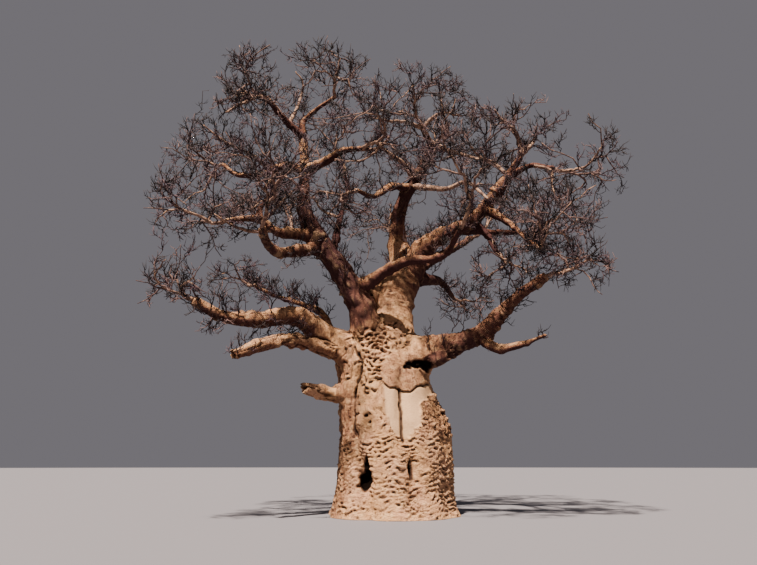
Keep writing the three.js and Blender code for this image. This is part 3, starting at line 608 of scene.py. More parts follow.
# Shoots along limbs: the limb, the share of it where they start and end, how many there are to a
# metre, how far the least and the greatest reach, and how much they turn up
SHOOTS = (
    ("fork_left", 0.55, 1.0, 14, 0.3, 0.7, 0.5),
    ("column_left", 0.0, 0.25, 14, 0.3, 0.6, 0.5),
    ("bough_left_mid", 0.1, 0.9, 6, 0.4, 0.9, 0.5),
    ("bough_left_elbow", 0.2, 1.0, 6, 0.4, 0.8, 0.0),
    ("bough_right_up", 0.05, 0.75, 18, 0.35, 0.8, 0.5),
    ("bough_centre", 0.0, 0.5, 8, 0.3, 0.6, 0.5),
    ("fork_right", 0.85, 1.0, 16, 0.3, 0.6, 0.5),
    ("bough_left_low", 0.35, 1.0, 5, 0.6, 1.4, 0.5),
    ("bough_left_low", 0.3, 0.9, 6, 0.5, 1.1, -0.5),
    ("bough_left_broken", 0.85, 1.0, 12, 0.15, 0.45, 0.6),
    ("bough_left_thin", 0.3, 1.0, 8, 0.6, 1.3, 0.5),
    ("bough_right_low", 0.45, 1.0, 4, 0.4, 1.0, 0.5),
    ("bough_right_rise", 0.0, 1.0, 7, 0.4, 1.0, 0.3),
    ("bough_right_dead", 0.85, 1.0, 8, 0.15, 0.35, 0.5),
    ("bough_right_out", 0.1, 1.0, 8, 0.4, 0.9, 0.5),
    ("bough_right_behind", 0.4, 1.0, 7, 0.5, 1.0, 0.2),
    ("bough_right_hang", 0.2, 1.0, 7, 0.4, 0.9, 0.2),
    ("bough_front", 0.6, 1.0, 5, 0.4, 0.9, 0.5),
    ("fork_back", 0.5, 1.0, 5, 0.4, 0.9, 0.5),
    ("bough_back_right", 0.2, 1.0, 5, 0.4, 0.9, 0.5),
    ("bough_back_left", 0.2, 1.0, 5, 0.4, 0.9, 0.5),
    ("bough_mid_riser", 0.2, 1.0, 6, 0.4, 0.9, 0.5),
)
SHOOT_TIPS = (3, 7)
SHOOT_RADIUS = 0.03
SHOOT_SUNK = 0.97
SHOOT_ASIDE = 0.6
SHOOT_AHEAD = 0.3
SIDE_STOUT = 1.25
SIDE_STEP = 0.22
SIDE_BEND = 0.06
SIDE_TONE = 2
SIDE_NODES_FROM = 0.4
# Side boughs in the masses: the middle line of each, and its diameter at its root and at its end.
# Its first point is moved on to the limb that is nearest.
SIDE_BOUGHS = (
    (((1.18, -0.4, 14.97), (0.58, -0.8, 14.89), (-0.04, -1.2, 14.66), (-0.71, -1.7, 14.45)), (0.17, 0.05)),
    (((1.3, -0.4, 14.87), (1.59, -0.9, 14.91), (2.03, -1.4, 14.89), (2.74, -1.8, 14.47)), (0.17, 0.05)),
    (((2.46, -0.7, 13.78), (2.27, -0.9, 14.44), (2.13, -1.2, 14.89), (2.01, -1.4, 15.5)), (0.14, 0.04)),
    (((1.68, -0.2, 14.33), (2.18, -0.7, 13.69), (2.86, -1.3, 13.04), (3.4, -1.8, 12.52)), (0.2, 0.07)),
    (
        ((0.94, -0.1, 12.34), (1.53, -0.6, 11.99), (2.08, -1.2, 11.62), (2.74, -1.9, 11.54),
         (3.13, -2.4, 10.86), (3.35, -2.6, 10.48)),
        (0.24, 0.07),
    ),
    (((0.88, 0.1, 12.73), (0.53, -0.5, 13.12), (0.15, -0.9, 13.2), (-0.44, -1.5, 13.28)), (0.22, 0.07)),
    (((-1.2, -1.9, 12.98), (-0.48, -2.5, 12.6), (-0.09, -3.0, 12.78)), (0.16, 0.06)),
    (((-4.78, -1.3, 12.74), (-5.42, -1.6, 12.91), (-6.29, -2.0, 13.18), (-7.05, -2.4, 13.65)), (0.18, 0.05)),
    (((-4.14, -2.1, 14.17), (-4.67, -3.0, 14.44), (-5.28, -3.6, 13.73), (-5.72, -4.0, 13.07)), (0.16, 0.05)),
    (((-3.9, -1.9, 14.13), (-3.6, -1.7, 15.28), (-3.5, -1.8, 16.05), (-3.78, -2.0, 16.4)), (0.15, 0.04)),
    (((5.07, -2.1, 12.68), (4.67, -2.2, 13.48), (4.19, -2.4, 13.78), (3.82, -2.6, 14.2)), (0.17, 0.05)),
    (((5.19, -2.1, 12.77), (5.52, -1.8, 13.5), (5.58, -1.8, 14.0)), (0.15, 0.05)),
    (((5.28, -2.3, 12.31), (5.64, -2.7, 11.58), (5.51, -3.0, 10.78), (5.57, -3.1, 10.34)), (0.14, 0.04)),
    (((4.38, -1.2, 12.18), (3.92, -1.5, 12.57), (3.25, -2.2, 12.41), (2.83, -2.6, 12.62)), (0.15, 0.05)),
    (((-4.48, -1.7, 9.3), (-4.96, -2.2, 9.43), (-5.47, -2.8, 9.36), (-6.0, -3.3, 9.57)), (0.16, 0.05)),
    (((-4.67, -2.0, 9.72), (-4.32, -2.1, 10.22), (-3.87, -2.0, 10.83), (-3.37, -2.1, 11.35)), (0.15, 0.05)),
    (((-2.33, 0.3, 10.75), (-2.77, 0.0, 11.32), (-3.14, -0.4, 11.74)), (0.13, 0.05)),
)


def unit(vectors):
    """The same vectors at length 1."""
    return vectors / np.maximum(np.linalg.norm(vectors, axis=-1, keepdims=True), 1e-9)


def lumps(points, size, seed):
    """Smooth noise between -1 and 1 at each point, with lumps of the given size."""
    scaled = points / size
    cell = np.floor(scaled).astype(np.int64)
    part = scaled - cell
    part = part * part * (3 - 2 * part)
    total = np.zeros(len(points))
    for corner in np.ndindex(2, 2, 2):
        at = cell + corner
        key = (at[:, 0] * 73856093) ^ (at[:, 1] * 19349663) ^ (at[:, 2] * 83492791) ^ (seed * 2654435761)
        key = (key ^ (key >> 13)) * 1274126177
        value = ((key ^ (key >> 16)) & 0xFFFF) / 32767.5 - 1
        total += value * np.prod(np.where(corner, part, 1 - part), axis=1)
    return total


def rough(points, size, seed, octaves=3):
    """Noise of several sizes, each half the one before."""
    return sum(lumps(points, size / 2 ** turn, seed + turn) / 2 ** turn for turn in range(octaves))


def step_up(value, low, high):
    """0 below low, 1 above high, and smooth between them."""
    part = np.clip((value - low) / (high - low), 0, 1)
    return part * part * (3 - 2 * part)


def bell(value, middle, width):
    """1 at the middle, falling away smoothly on both sides."""
    return np.exp(-(((value - middle) / width) ** 2))


def trunk_measure(heights, column):
    """One measure of the trunk at the given heights, smoothly between its stations."""
    stations = np.array(TRUNK_STATIONS)
    at = stations[:, 0]
    value = stations[:, column]
    before = np.maximum(np.arange(len(at)) - 1, 0)
    after = np.minimum(np.arange(len(at)) + 1, len(at) - 1)
    slope = (value[after] - value[before]) / (at[after] - at[before])
    low = np.clip(np.searchsorted(at, heights) - 1, 0, len(at) - 2)
    span = at[low + 1] - at[low]
    share = np.clip((heights - at[low]) / span, 0, 1)
    squared = share ** 2
    cubed = share ** 3
    return (
        (2 * cubed - 3 * squared + 1) * value[low]
        + (cubed - 2 * squared + share) * span * slope[low]
        + (3 * squared - 2 * cubed) * value[low + 1]
        + (cubed - squared) * span * slope[low + 1]
    )


def between(path, at):
    """The second number of a path's places where the first is at, in proportion between them."""
    return np.interp(at, *np.transpose(path))


def off_groove(degrees, heights, path):
    """How many degrees to one side of a groove a place on the trunk lies."""
    return (degrees - between(path, heights) + 180) % 360 - 180


def trunk_relief(degrees, heights):
    """How far the trunk's grooves and root buttresses stand in or out."""
    relief = ROOT_SWELL[0] * np.exp(-heights / ROOT_SWELL[1])
    for depth, width, path in GROOVES:
        low, high = path[0][0], path[-1][0]
        away = off_groove(degrees, heights, path)
        fade = step_up(heights, low - GROOVE_FADE[0], low + GROOVE_FADE[1])
        fade = fade * (1 - step_up(heights, high - GROOVE_FADE[2], high))
        relief = relief - depth * bell(away, 0, width) * fade * (1 + np.exp(-heights / ROOT_SWELL[1]))
    return relief


def step_lengths(points):
    """How far each point of a line is from the one before."""
    return np.linalg.norm(np.diff(points, axis=0), axis=1)


def run_along(points):
    """How far along a line each of its points lies."""
    return np.concatenate([[0], np.cumsum(step_lengths(points))])


def at_run(at, run, points):
    """The places on a line at the given distances along it."""
    return np.stack([np.interp(at, run, points[:, axis]) for axis in range(3)], axis=1)


def smooth_line(route, step):
    """Points at even steps along a smooth curve through a route's points, the curve's headings there
    and its length."""
    knots = np.array(route, dtype=float)
    knots = np.vstack([2 * knots[0] - knots[1], knots, 2 * knots[-1] - knots[-2]])
    dense = []
    for a, b, c, d in zip(knots, knots[1:], knots[2:], knots[3:]):
        gap_a = np.linalg.norm(b - a) ** 0.5
        gap_b = np.linalg.norm(c - b) ** 0.5
        gap_c = np.linalg.norm(d - c) ** 0.5
        leave = ((b - a) / gap_a - (c - a) / (gap_a + gap_b) + (c - b) / gap_b) * gap_b
        arrive = ((c - b) / gap_b - (d - b) / (gap_b + gap_c) + (d - c) / gap_c) * gap_b
        t = np.linspace(0, 1, CURVE_STEPS, endpoint=False)[:, None]
        dense.append(
            (2 * t ** 3 - 3 * t ** 2 + 1) * b + (t ** 3 - 2 * t ** 2 + t) * leave
            + (3 * t ** 2 - 2 * t ** 3) * c + (t ** 3 - t ** 2) * arrive
        )
    dense = np.vstack(dense + [knots[-2:-1]])
    run = run_along(dense)
    count = max(3, round(run[-1] / step))
    at = np.linspace(0, run[-1], count + 1)
    ways = at_run(at + HEADING_STEP, run, dense) - at_run(at - HEADING_STEP, run, dense)
    return at_run(at, run, dense), unit(ways), run[-1]


def web_rings():
    """Rings of the bark in the crotch between the forks."""
    route, thick = WEB
    points, headings = smooth_line(route, STOUT_STEP)[:2]
    radii = np.linspace(thick[0] / 2, thick[1] / 2, len(points))
    return tube_rings(points, headings, radii, STOUT_SIDES)


def limb_line(name, step):
    """A limb's middle line, headings and radii."""
    route, thick = LIMBS[name]
    points, headings, length = smooth_line(route, step)
    share = np.linspace(0, 1, len(points))
    flare = ROOT_FLARE[0] * np.exp(-share * length / ROOT_FLARE[1])
    start = thick[0] / 2 * (1 + flare)
    radii = start + (thick[1] / 2 - start) * share ** LIMB_TAPER
    return points, headings, radii


def frames_along(headings):
    """For each heading a pair of axes square to it, which turn as little as they can."""
    side = np.cross((0.0, 0.0, 1.0), headings[0])
    if np.linalg.norm(side) < 0.01:
        side = np.array((1.0, 0.0, 0.0))
    sides = np.empty_like(headings)
    for index, heading in enumerate(headings):
        side = side - heading * np.dot(side, heading)
        side = side / np.linalg.norm(side)
        sides[index] = side
    return sides, np.cross(headings, sides)


def tube_rings(points, headings, radii, count):
    """Rings of points round a line: an array of rings, sides and coordinates."""
    sides, ups = frames_along(headings)
    turns = np.arange(count) / count * 2 * math.pi
    across = np.cos(turns)[:, None] * sides[:, None] + np.sin(turns)[:, None] * ups[:, None]
    return points[:, None] + radii[:, None, None] * across


def trunk_rings():
    """The trunk's rings, from just under the ground to its top."""
    heights = np.concatenate([[-TRUNK_STEP / 2], np.arange(0, TRUNK_TOP, TRUNK_STEP)])
    degrees = np.arange(TRUNK_SIDES) * 360 / TRUNK_SIDES
    height = np.repeat(np.maximum(heights, 0)[:, None], TRUNK_SIDES, axis=1)
    turn = np.radians(degrees)[None]
    relief = trunk_relief(degrees[None], height)
    x = trunk_measure(height, MIDDLE_X) + (trunk_measure(height, HALF_X) + relief) * np.cos(turn)
    y = (trunk_measure(height, HALF_Y) + relief) * np.sin(turn)
    z = np.repeat(heights[:, None], TRUNK_SIDES, axis=1)
    return np.stack([x, y, z], axis=-1)


def skin(rings):
    """A closed skin over rings: its vertices, and its faces as lists of vertex numbers."""
    count, sides = rings.shape[:2]
    first = np.arange(count - 1)[:, None] * sides + np.arange(sides)
    beside = np.arange(count - 1)[:, None] * sides + (np.arange(sides) + 1) % sides
    quads = np.stack([first, beside, beside + sides, first + sides], axis=-1).reshape(-1, 4)
    last = (count - 1) * sides
    caps = [list(range(sides))[::-1], list(range(last, last + sides))]
    return rings.reshape(-1, 3), quads.tolist() + caps


def fused(skins, voxel):
    """One mesh of even quads round several overlapping skins: its vertices and its quads."""
    vertices = np.vstack([points for points, faces in skins])
    starts = np.cumsum([0] + [len(points) for points, faces in skins])
    faces = [
        [corner + int(start) for corner in face]
        for start, (points, polygons) in zip(starts, skins)
        for face in polygons
    ]
    mesh = bpy.data.meshes.new("rough")
    mesh.from_pydata(vertices.tolist(), [], faces)
    whole = bpy.data.objects.new("rough", mesh)
    bpy.context.scene.collection.objects.link(whole)
    remesh = whole.modifiers.new("fuse", "REMESH")
    remesh.mode = "VOXEL"
    remesh.voxel_size = voxel
    result = whole.evaluated_get(bpy.context.evaluated_depsgraph_get()).to_mesh()
    points = np.empty(len(result.vertices) * 3, dtype=np.float32)
    result.vertices.foreach_get("co", points)
    corners = np.empty(len(result.loops), dtype=np.int32)
    result.loops.foreach_get("vertex_index", corners)
    bpy.data.objects.remove(whole)
    return points.reshape(-1, 3).astype(float), corners.reshape(-1, 4).astype(np.int64)


def corner_sums(weights, quads, count):
    """For each vertex, the sum of what the corners of the quads give it."""
    return np.bincount(quads.ravel(), weights=weights, minlength=count)


def pooled(values, quads):
    """For each vertex, the mean of a value over the vertices beside it."""
    count = len(values)
    ahead = np.roll(quads, -1, axis=1).ravel()
    weight = np.maximum(np.bincount(quads.ravel(), minlength=count), 1)
    columns = values.reshape(count, -1)
    total = np.stack([corner_sums(column[ahead], quads, count) for column in columns.T], axis=1)
    return (total / weight[:, None]).reshape(values.shape)


def blurred(values, quads, turns):
    """A value smoothed over the mesh so many times."""
    for _ in range(turns):
        values = pooled(values, quads)
    return values


def relax(points, quads, turns):
    """Smooths a mesh without shrinking it."""
    for turn in range(turns * 2):
        amount = SHRINK if turn % 2 == 0 else SWELL
        points = points + amount * (pooled(points, quads) - points)
    return points


def normals_of(points, quads):
    """The outward normal at each vertex."""
    corners = points[quads]
    across = np.cross(corners[:, 2] - corners[:, 0], corners[:, 3] - corners[:, 1])
    total = np.stack([
        corner_sums(np.repeat(across[:, axis], 4), quads, len(points)) for axis in range(3)
    ], axis=1)
    return unit(total)


def near_line(points, middles, reach):
    """The numbers of the points within reach of the box round a line."""
    low, high = middles.min(0) - reach, middles.max(0) + reach
    return np.flatnonzero(np.all((points > low) & (points < high), axis=1))


def among(limb, names):
    """True for each place whose limb is one of those named."""
    return np.isin(limb, [list(LIMBS).index(name) for name in names])


class LimbFinder:
    """Finds the limb that a point lies on or nearest to."""

    def __init__(self, lines):
        self.lines = lines
        self.frames = {name: frames_along(line[1]) for name, line in lines.items()}

    def place(self, points):
        """For each point: the gap to the nearest limb's skin, that limb's number and radius there,
        the way along it, and the two coordinates across it."""
        gap = np.full(len(points), FAR)
        limb = np.zeros(len(points), dtype=int)
        radius = np.full(len(points), OTHER_RADIUS)
        along = np.zeros(len(points))
        across = np.zeros((len(points), 2))
        for number, (name, (middles, headings, radii)) in enumerate(self.lines.items()):
            chosen = near_line(points, middles, radii.max() + FINDER_REACH)
            if len(chosen) == 0:
                continue
            away = np.linalg.norm(points[chosen, None] - middles[None], axis=2) - radii[None]
            best = away.argmin(axis=1)
            found = away[np.arange(len(chosen)), best]
            closer = found < gap[chosen]
            kept, best = chosen[closer], best[closer]
            offset = points[kept] - middles[best]
            step = np.linalg.norm(middles[1] - middles[0])
            gap[kept] = found[closer]
            limb[kept] = number
            radius[kept] = radii[best]
            along[kept] = best * step + (offset * headings[best]).sum(1)
            side, up = self.frames[name]
            across[kept] = np.stack([(offset * side[best]).sum(1), (offset * up[best]).sum(1)], axis=1)
        return gap, limb, radius, along, across


def saddles(points, finder):
    """Moves the points near a crotch out on to a smooth saddle between the limbs that meet there."""
    degrees, _, near = trunk_place(points)
    turn = np.radians(degrees)
    way = unit(np.stack([np.cos(turn), np.sin(turn), np.full(len(points), TRUNK_WAY_RISE)], axis=1))
    thick = np.full(len(points), SADDLE_MOST)
    second = np.full(len(points), FAR)
    other_way = way.copy()
    other_thick = thick.copy()
    for middles, _, radii in finder.lines.values():
        chosen = near_line(points, middles, radii.max() + SADDLE_MOST)
        if len(chosen) == 0:
            continue
        offset = points[chosen, None] - middles[None]
        away = np.linalg.norm(offset, axis=2) - radii[None]
        best = away.argmin(axis=1)
        pick = np.arange(len(chosen))
        found = (away[pick, best], unit(offset[pick, best]), radii[best])
        held = (near[chosen], way[chosen], thick[chosen])
        first = found[0] < held[0]
        pairs = [(first if old.ndim == 1 else first[:, None], old, new) for old, new in zip(held, found)]
        near[chosen], way[chosen], thick[chosen] = [np.where(better, new, old) for better, old, new in pairs]
        loser = [np.where(better, old, new) for better, old, new in pairs]
        closer = loser[0] < second[chosen]
        kept = chosen[closer]
        second[kept], other_way[kept], other_thick[kept] = [one[closer] for one in loser]
    width = np.minimum(np.minimum(thick, other_thick) * SADDLE_SHARE, SADDLE_MOST)
    width = width * np.clip(SADDLE_TURN * (1 - (way * other_way).sum(1)), SADDLE_LEAST, 1)
    share = np.clip(1 - (second - near) / width, 0, 1)
    out = unit(way * (1 - share / 2)[:, None] + other_way * (share / 2)[:, None])
    return points + out * (share ** 2 * width / 4)[:, None]


def trunk_place(points):
    """For each point: its angle round the trunk in degrees, its height and its gap to the plain trunk."""
    height = np.clip(points[:, 2], 0, TRUNK_TOP)
    half_x = trunk_measure(height, HALF_X)
    half_y = trunk_measure(height, HALF_Y)
    x = (points[:, 0] - trunk_measure(height, MIDDLE_X)) / half_x
    y = points[:, 1] / half_y
    over = np.maximum(points[:, 2] - TRUNK_TOP, 0)
    gap = (np.hypot(x, y) - 1) * (half_x + half_y) / 2 + over
    return np.degrees(np.arctan2(y, x)), points[:, 2], gap


def weighed(weights, *parts):
    """The sum of the parts, each times its weight."""
    return sum(weight * part for weight, part in zip(weights, parts))


def window(value, low, high, soft):
    """1 between low and high, fading to 0 on both sides."""
    return step_up(value, low - soft, low + soft) * (1 - step_up(value, high - soft, high + soft))


def creases(field, width):
    """1 along the winding lines where a field of noise crosses 0."""
    return bell(field, 0, width)


def swirled(points, size, amount, seed):
    """The points moved about smoothly, so that what is drawn on them winds."""
    return points + amount * np.stack([lumps(points, size, seed + axis) for axis in range(3)], axis=1)


def bent_places(points, bends):
    """The points after one bend and the next."""
    for bend in bends:
        points = swirled(points, *bend)
    return points


def pockets(points, rise, width, seed):
    """Short sagging folds in staggered rows: how close each place is to the lip of one, and to the
    dark pocket under the lip."""
    turn = np.arctan2(points[:, 0] + TRUNK_OFFSET, -points[:, 1]) * TRUNK_RADIUS
    level = points[:, 2] / rise + ROW_SWAY * lumps(points * (1, 1, 0.7), 0.55, seed)
    level = level + ROW_WOBBLE * lumps(points, 0.2, seed + 1)
    row = np.floor(level)
    along = turn / width + 0.5 * row + FOLD_SHIFT * lumps(points, 0.35, seed + 2)
    cell = np.floor(along)
    chance = np.sin(row * 12.99 + cell * 78.23 + seed) * 437.58
    chance = chance - np.floor(chance)
    across = 2 * (along - cell) - 1
    reach = POCKET_REACH[0] + POCKET_REACH[1] * chance
    drop = level - row - POCKET_DROP[0] - POCKET_DROP[1] * chance + POCKET_SAG * across ** 2 * (chance - 0.45)
    pocket = np.exp(-(across / reach) ** 4 - (drop / POCKET_HEIGHT) ** 2)
    lip = np.exp(-(across / (LIP_WIDER * reach)) ** 4 - ((drop - LIP_ABOVE) / LIP_HEIGHT) ** 2)
    return lip, pocket


def folds(points, rise, wave, seed, ragged):
    """Folds of bark that hang one below another: how far each place stands out, from 0 to 1, and how
    close it is to the crease under a fold's lip. They end and start again as they go round."""
    level = points[:, 2] / rise + wave * lumps(points * (1, 1, 0.5), 0.62, seed)
    level = level + 0.5 * wave * lumps(points, 0.24, seed + 1)
    part = level - np.floor(level)
    lip = step_up(part, 0.0, 0.2) * (1 - 0.85 * step_up(part, 0.25, 1.0))
    crease = np.maximum(bell(part, 0.0, 0.13), bell(part, 1.0, 0.1))
    row = np.floor(level + 0.5)
    along = points * (1, 1, 0) + np.stack([row * 3.7, row * 1.9, row * 0.6], axis=1)
    present = step_up(rough(along, ragged, seed + 2, 2), -0.3, 0.3)
    return lip * (0.25 + 0.75 * present), crease * present


def crumple(points):
    """Fat soft folds like melted wax, with deep pockets between them."""
    bent = bent_places(points, CRUMPLE_BENDS)
    lip, pocket = pockets(bent, *CRUMPLE_FOLDS)
    finer_lip, finer_pocket = pockets(bent_places(points, CRUMPLE_FINER_BENDS), *CRUMPLE_FINER_FOLDS)
    swell = rough(bent, *CRUMPLE_SWELL)
    shift = weighed(CRUMPLE_HEIGHTS, swell, lip, finer_lip, pocket, finer_pocket)
    return shift, np.clip(weighed(CRUMPLE_DARKS, pocket, finer_pocket), 0, CRUMPLE_DARKEST)


def wrinkles(points):
    """Level folds, one above another, as on an elephant's leg, broken up into short ones."""
    bent = bent_places(points, WRINKLE_BENDS)
    patch = step_up(rough(points * (1, 1, 1.4), *WRINKLE_PATCH), -0.5, 0.3)
    patch = WRINKLE_LEAST + (1 - WRINKLE_LEAST) * patch
    lip, pocket = pockets(bent, *WRINKLE_FOLDS)
    finer_lip, finer_pocket = pockets(bent_places(points, WRINKLE_FINER_BENDS), *WRINKLE_FINER_FOLDS)
    swell = rough(bent * (1, 1, 1.5), *WRINKLE_SWELL)
    pits = step_up(rough(bent * (1, 1, 2.2), *WRINKLE_PITS), 0.6, 0.95)
    shift = patch * weighed(WRINKLE_HEIGHTS, lip, finer_lip, pocket, finer_pocket)
    fold = patch * weighed(WRINKLE_DARKS, pocket, finer_pocket) + WRINKLE_PIT_DARK * pits
    return weighed(WRINKLE_PLAIN_HEIGHTS, shift, swell, pits), np.clip(WRINKLE_DARK * fold, 0, 1)


def seams_in(points, stretch, noise, width):
    """The winding lines where a stretched noise crosses 0."""
    return creases(rough(points * stretch, *noise), width)


def columns(points):
    """Shallow upright swellings with a few pits and cracks."""
    bent = bent_places(points, COLUMN_BENDS)
    field = rough(bent * (1, 1, 0.45), *COLUMN_FIELD)
    seams = seams_in(bent, (1, 1, 0.4), COLUMN_SEAMS, 0.06) * step_up(lumps(points, 0.5, 57), -0.3, 0.3)
    finer = seams_in(bent, (1, 1, 0.3), COLUMN_FINER_SEAMS, 0.1) * step_up(lumps(points, 0.3, 59), -0.2, 0.5)
    seams = np.maximum(seams, 0.8 * finer)
    pits = step_up(rough(bent * (1, 1, 1.1), *COLUMN_PITS), 0.5, 0.9)
    lip, pocket = pockets(bent_places(points, COLUMN_FOLD_BENDS), *COLUMN_FOLDS)
    some = step_up(rough(points, *COLUMN_PLACES), -0.1, 0.5)
    shift = weighed(COLUMN_HEIGHTS, field, pits, seams, some * weighed(COLUMN_FOLD_HEIGHTS, lip, pocket))
    return shift, np.clip(weighed(COLUMN_DARKS, pits, seams, some * pocket), 0, COLUMN_DARKEST)


def crevices(degrees, height):
    """Where the narrow bottoms of the deep grooves lie, from 0 to 1: they get painted shade."""
    found = np.zeros(len(height))
    for path, width, low, high in CREVICES:
        near = bell(off_groove(degrees, height, path), 0, width)
        found = np.maximum(found, near * window(height, low, high, CREVICE_ENDS))
    return found


def trunk_zones(points, degrees, height, wander, rim):
    """The share of each kind of bark at each place: smooth panels, flaky bark beside them, crumpled
    bark at the fork, wrinkles at the foot, the apron over the panels, and what is left."""
    turn = degrees + wander
    level = height + 0.1 * lumps(points, 0.3, 9)
    below_rim = 1 - step_up(height, rim - 0.02, rim)
    edge = degrees + 0.3 * wander
    panels = step_up(edge - between(PANEL_LEFT, level), -1.2, 1.2)
    panels = panels * (1 - step_up(edge - between(PANEL_RIGHT, level), -1, 1.5))
    panels = panels * step_up(level, *PANEL_FOOT) * below_rim
    flaky = window(turn, *FLAKY_TURNS) * window(level, *FLAKY_LEVELS) * (1 - panels) * below_rim
    off_crumple = np.abs(turn - between(CRUMPLE_MIDDLE, height)) - between(CRUMPLE_HALF, height)
    crumpled = (1 - step_up(off_crumple, *CRUMPLE_EDGE)) * window(level, *CRUMPLE_LEVELS)
    foot = 1 - step_up(level + 0.25 * lumps(points, 0.7, 13), *WRINKLE_TOP)
    apron = window(turn, *APRON_TURNS) * step_up(height, rim - 0.01, rim + 0.02)
    apron = apron * (1 - step_up(height, *APRON_TOP)) * (1 - crumpled)
    plain = np.clip(1 - panels - crumpled - foot, 0, 1) * (1 - 0.8 * apron)
    return panels, flaky, crumpled, foot, apron, plain


def trunk_brown(turn, level, crumpled, foot, plain, apron):
    """How brown the trunk's bark is, with painted shade on the flanks away from the front."""
    shaded = 1 - step_up(turn, *SHADED_EDGES[0]) * (1 - step_up(turn, *SHADED_EDGES[1]))
    left = window(turn, *LEFT_TURNS) * window(level, *LEFT_LEVELS)
    return weighed(TRUNK_BROWNS, shaded, crumpled, foot, plain, apron, left)


def trunk_detail(points):
    """How much each place belongs to the trunk, how far its bark stands in or out there, and how
    smooth the bark is, how much painted shade its folds, pits and crevices get, how rusty it is and how
    brown, with painted shade on its flanks."""
    degrees, height, gap = trunk_place(points)
    wander = 4 * lumps(points, 0.35, 7) + 2.5 * lumps(points, 0.13, 8)
    rim = between(CRACK, degrees) + 0.03 * lumps(points, 0.12, 10)
    panels, flaky, crumpled, foot, apron, plain = trunk_zones(points, degrees, height, wander, rim)
    crumple_shift, crumple_shade = crumple(points)
    wrinkle_shift, wrinkle_shade = wrinkles(points)
    column_shift, pits = columns(points)
    crevice = crevices(degrees + 0.35 * wander, height)
    broken = window(degrees, *BROKEN_TURNS) * (1 - step_up(lumps(points, 0.26, 12), -0.5, 0.3))
    crevice = crevice * (1 - 0.45 * broken)

    shift = crumpled * crumple_shift + foot * (1 - panels) * wrinkle_shift + plain * column_shift
    scales = rough(points * (1, 1, 1.8), *FLAKE_SCALES)
    flake_lip, flake_crease = folds(bent_places(points, FLAKE_BENDS), 0.16, 1.2, 73, 0.2)
    shift = shift + flaky * (0.01 + 0.02 * scales + 0.03 * flake_lip)
    shift = shift + apron * APRON_RAISED - panels * PANEL_SUNK
    lip = bell(height, rim - RIM_DROP, RIM_HEIGHT) * window(degrees, *RIM_TURNS)
    shift = shift - RIM_SUNK * lip - CREVICE_DEPTH * crevice
    shift = shift + foot * FOOT_SWELL_HEIGHT * rough(points, *FOOT_SWELL)
    for middle, size, reach in NUBS:
        shift = shift + reach * np.exp(-(((points - middle) / size) ** 2).sum(1))

    fold = crumpled * crumple_shade + foot * (1 - panels) * wrinkle_shade + PIT_DARK * plain * pits + lip
    fold = fold + CREVICE_DARK * crevice + flaky * (0.8 * flake_crease + 0.5 * creases(scales, 0.08))
    level = height + 0.1 * lumps(points, 0.3, 9)
    brown = trunk_brown(degrees + wander, level, crumpled, foot, plain, apron)
    return 1 - step_up(gap, *TRUNK_EDGE), shift, panels, np.clip(fold, 0, 1.6), flaky, brown


def hollows(points):
    """How deep the hollows in the bark are at each place, and how much painted shadow fills them."""
    depth = np.zeros(len(points))
    dark = np.zeros(len(points))
    for middle, size, deepest in HOLLOWS:
        near = np.exp(-((((points - middle) / size) ** 2).sum(1)) ** HOLLOW_EDGE)
        depth = np.maximum(depth, deepest * near)
        dark = np.maximum(dark, near)
    return depth, step_up(dark, 0.1, 0.6)


def limb_detail(points, finder):
    """How far the limbs' bark stands in or out, how much painted shade its creases and cracks get, with some
    dark streaks, and how brown the limb is, with painted shadow of the crown on some limbs.
    """
    _, limb, radius, along, across = finder.place(points)
    round_it = across / np.maximum(np.linalg.norm(across, axis=1), 1e-3)[:, None]
    reach = np.clip(radius, 0.06, 0.5)
    local = np.stack([along, round_it[:, 0] * reach, round_it[:, 1] * reach + limb * LIMB_APART], axis=1)
    swelling = rough(local, *LIMB_SWELL) * np.clip(SWELL_SHARE * radius, *SWELL_LIMITS)
    fibrous = among(limb, FIBROUS)
    rings = rough(local * np.where(fibrous[:, None], FIBRE_STRETCH, RING_STRETCH), *LIMB_RINGS)
    fold = creases(rings, 0.13) * (0.35 + 0.65 * step_up(lumps(local, 0.6, 121), -0.2, 0.5))
    dead = among(limb, BROKEN)
    cracks = dead * seams_in(local, CRACK_STRETCH, LIMB_CRACKS, 0.16)
    stripes = seams_in(local, STRIPE_STRETCH, LIMB_STRIPES, 0.15)
    stripes = stripes * step_up(rough(local, *LIMB_STRIPE_PLACES), -0.3, 0.3) * (1 - fibrous)
    ends = np.array([BROWNNESS.get(name, OTHER_BROWN) for name in LIMBS])[limb]
    lengths = np.array([step_lengths(line[0]).sum() for line in finder.lines.values()])
    brown = ends[:, 0] + (ends[:, 1] - ends[:, 0]) * step_up(along / lengths[limb], 0.1, 0.9)
    fold = (fold * (1 - dead) + 0.7 * stripes) * (0.5 + 0.5 * np.clip(brown, 0, 1))
    fold = np.clip(fold + cracks, 0, 1.2)
    depth = np.clip(RING_SHARE * radius, *RING_LIMITS)
    shift = swelling + depth * (rings - 1.1 * fold) - 0.03 * cracks
    for number, way, turn, size, height in limb_knots(finder):
        middle = np.array((math.cos(turn), math.sin(turn)))
        chosen = np.flatnonzero((limb == number) & (np.abs(along - way) < KNOT_REACH))
        spread = radius[chosen] * np.linalg.norm(round_it[chosen] - middle, axis=1)
        shift[chosen] += height * np.exp(-((along[chosen] - way) ** 2 + spread ** 2) / size ** 2)
    return shift, fold, brown, limb, along


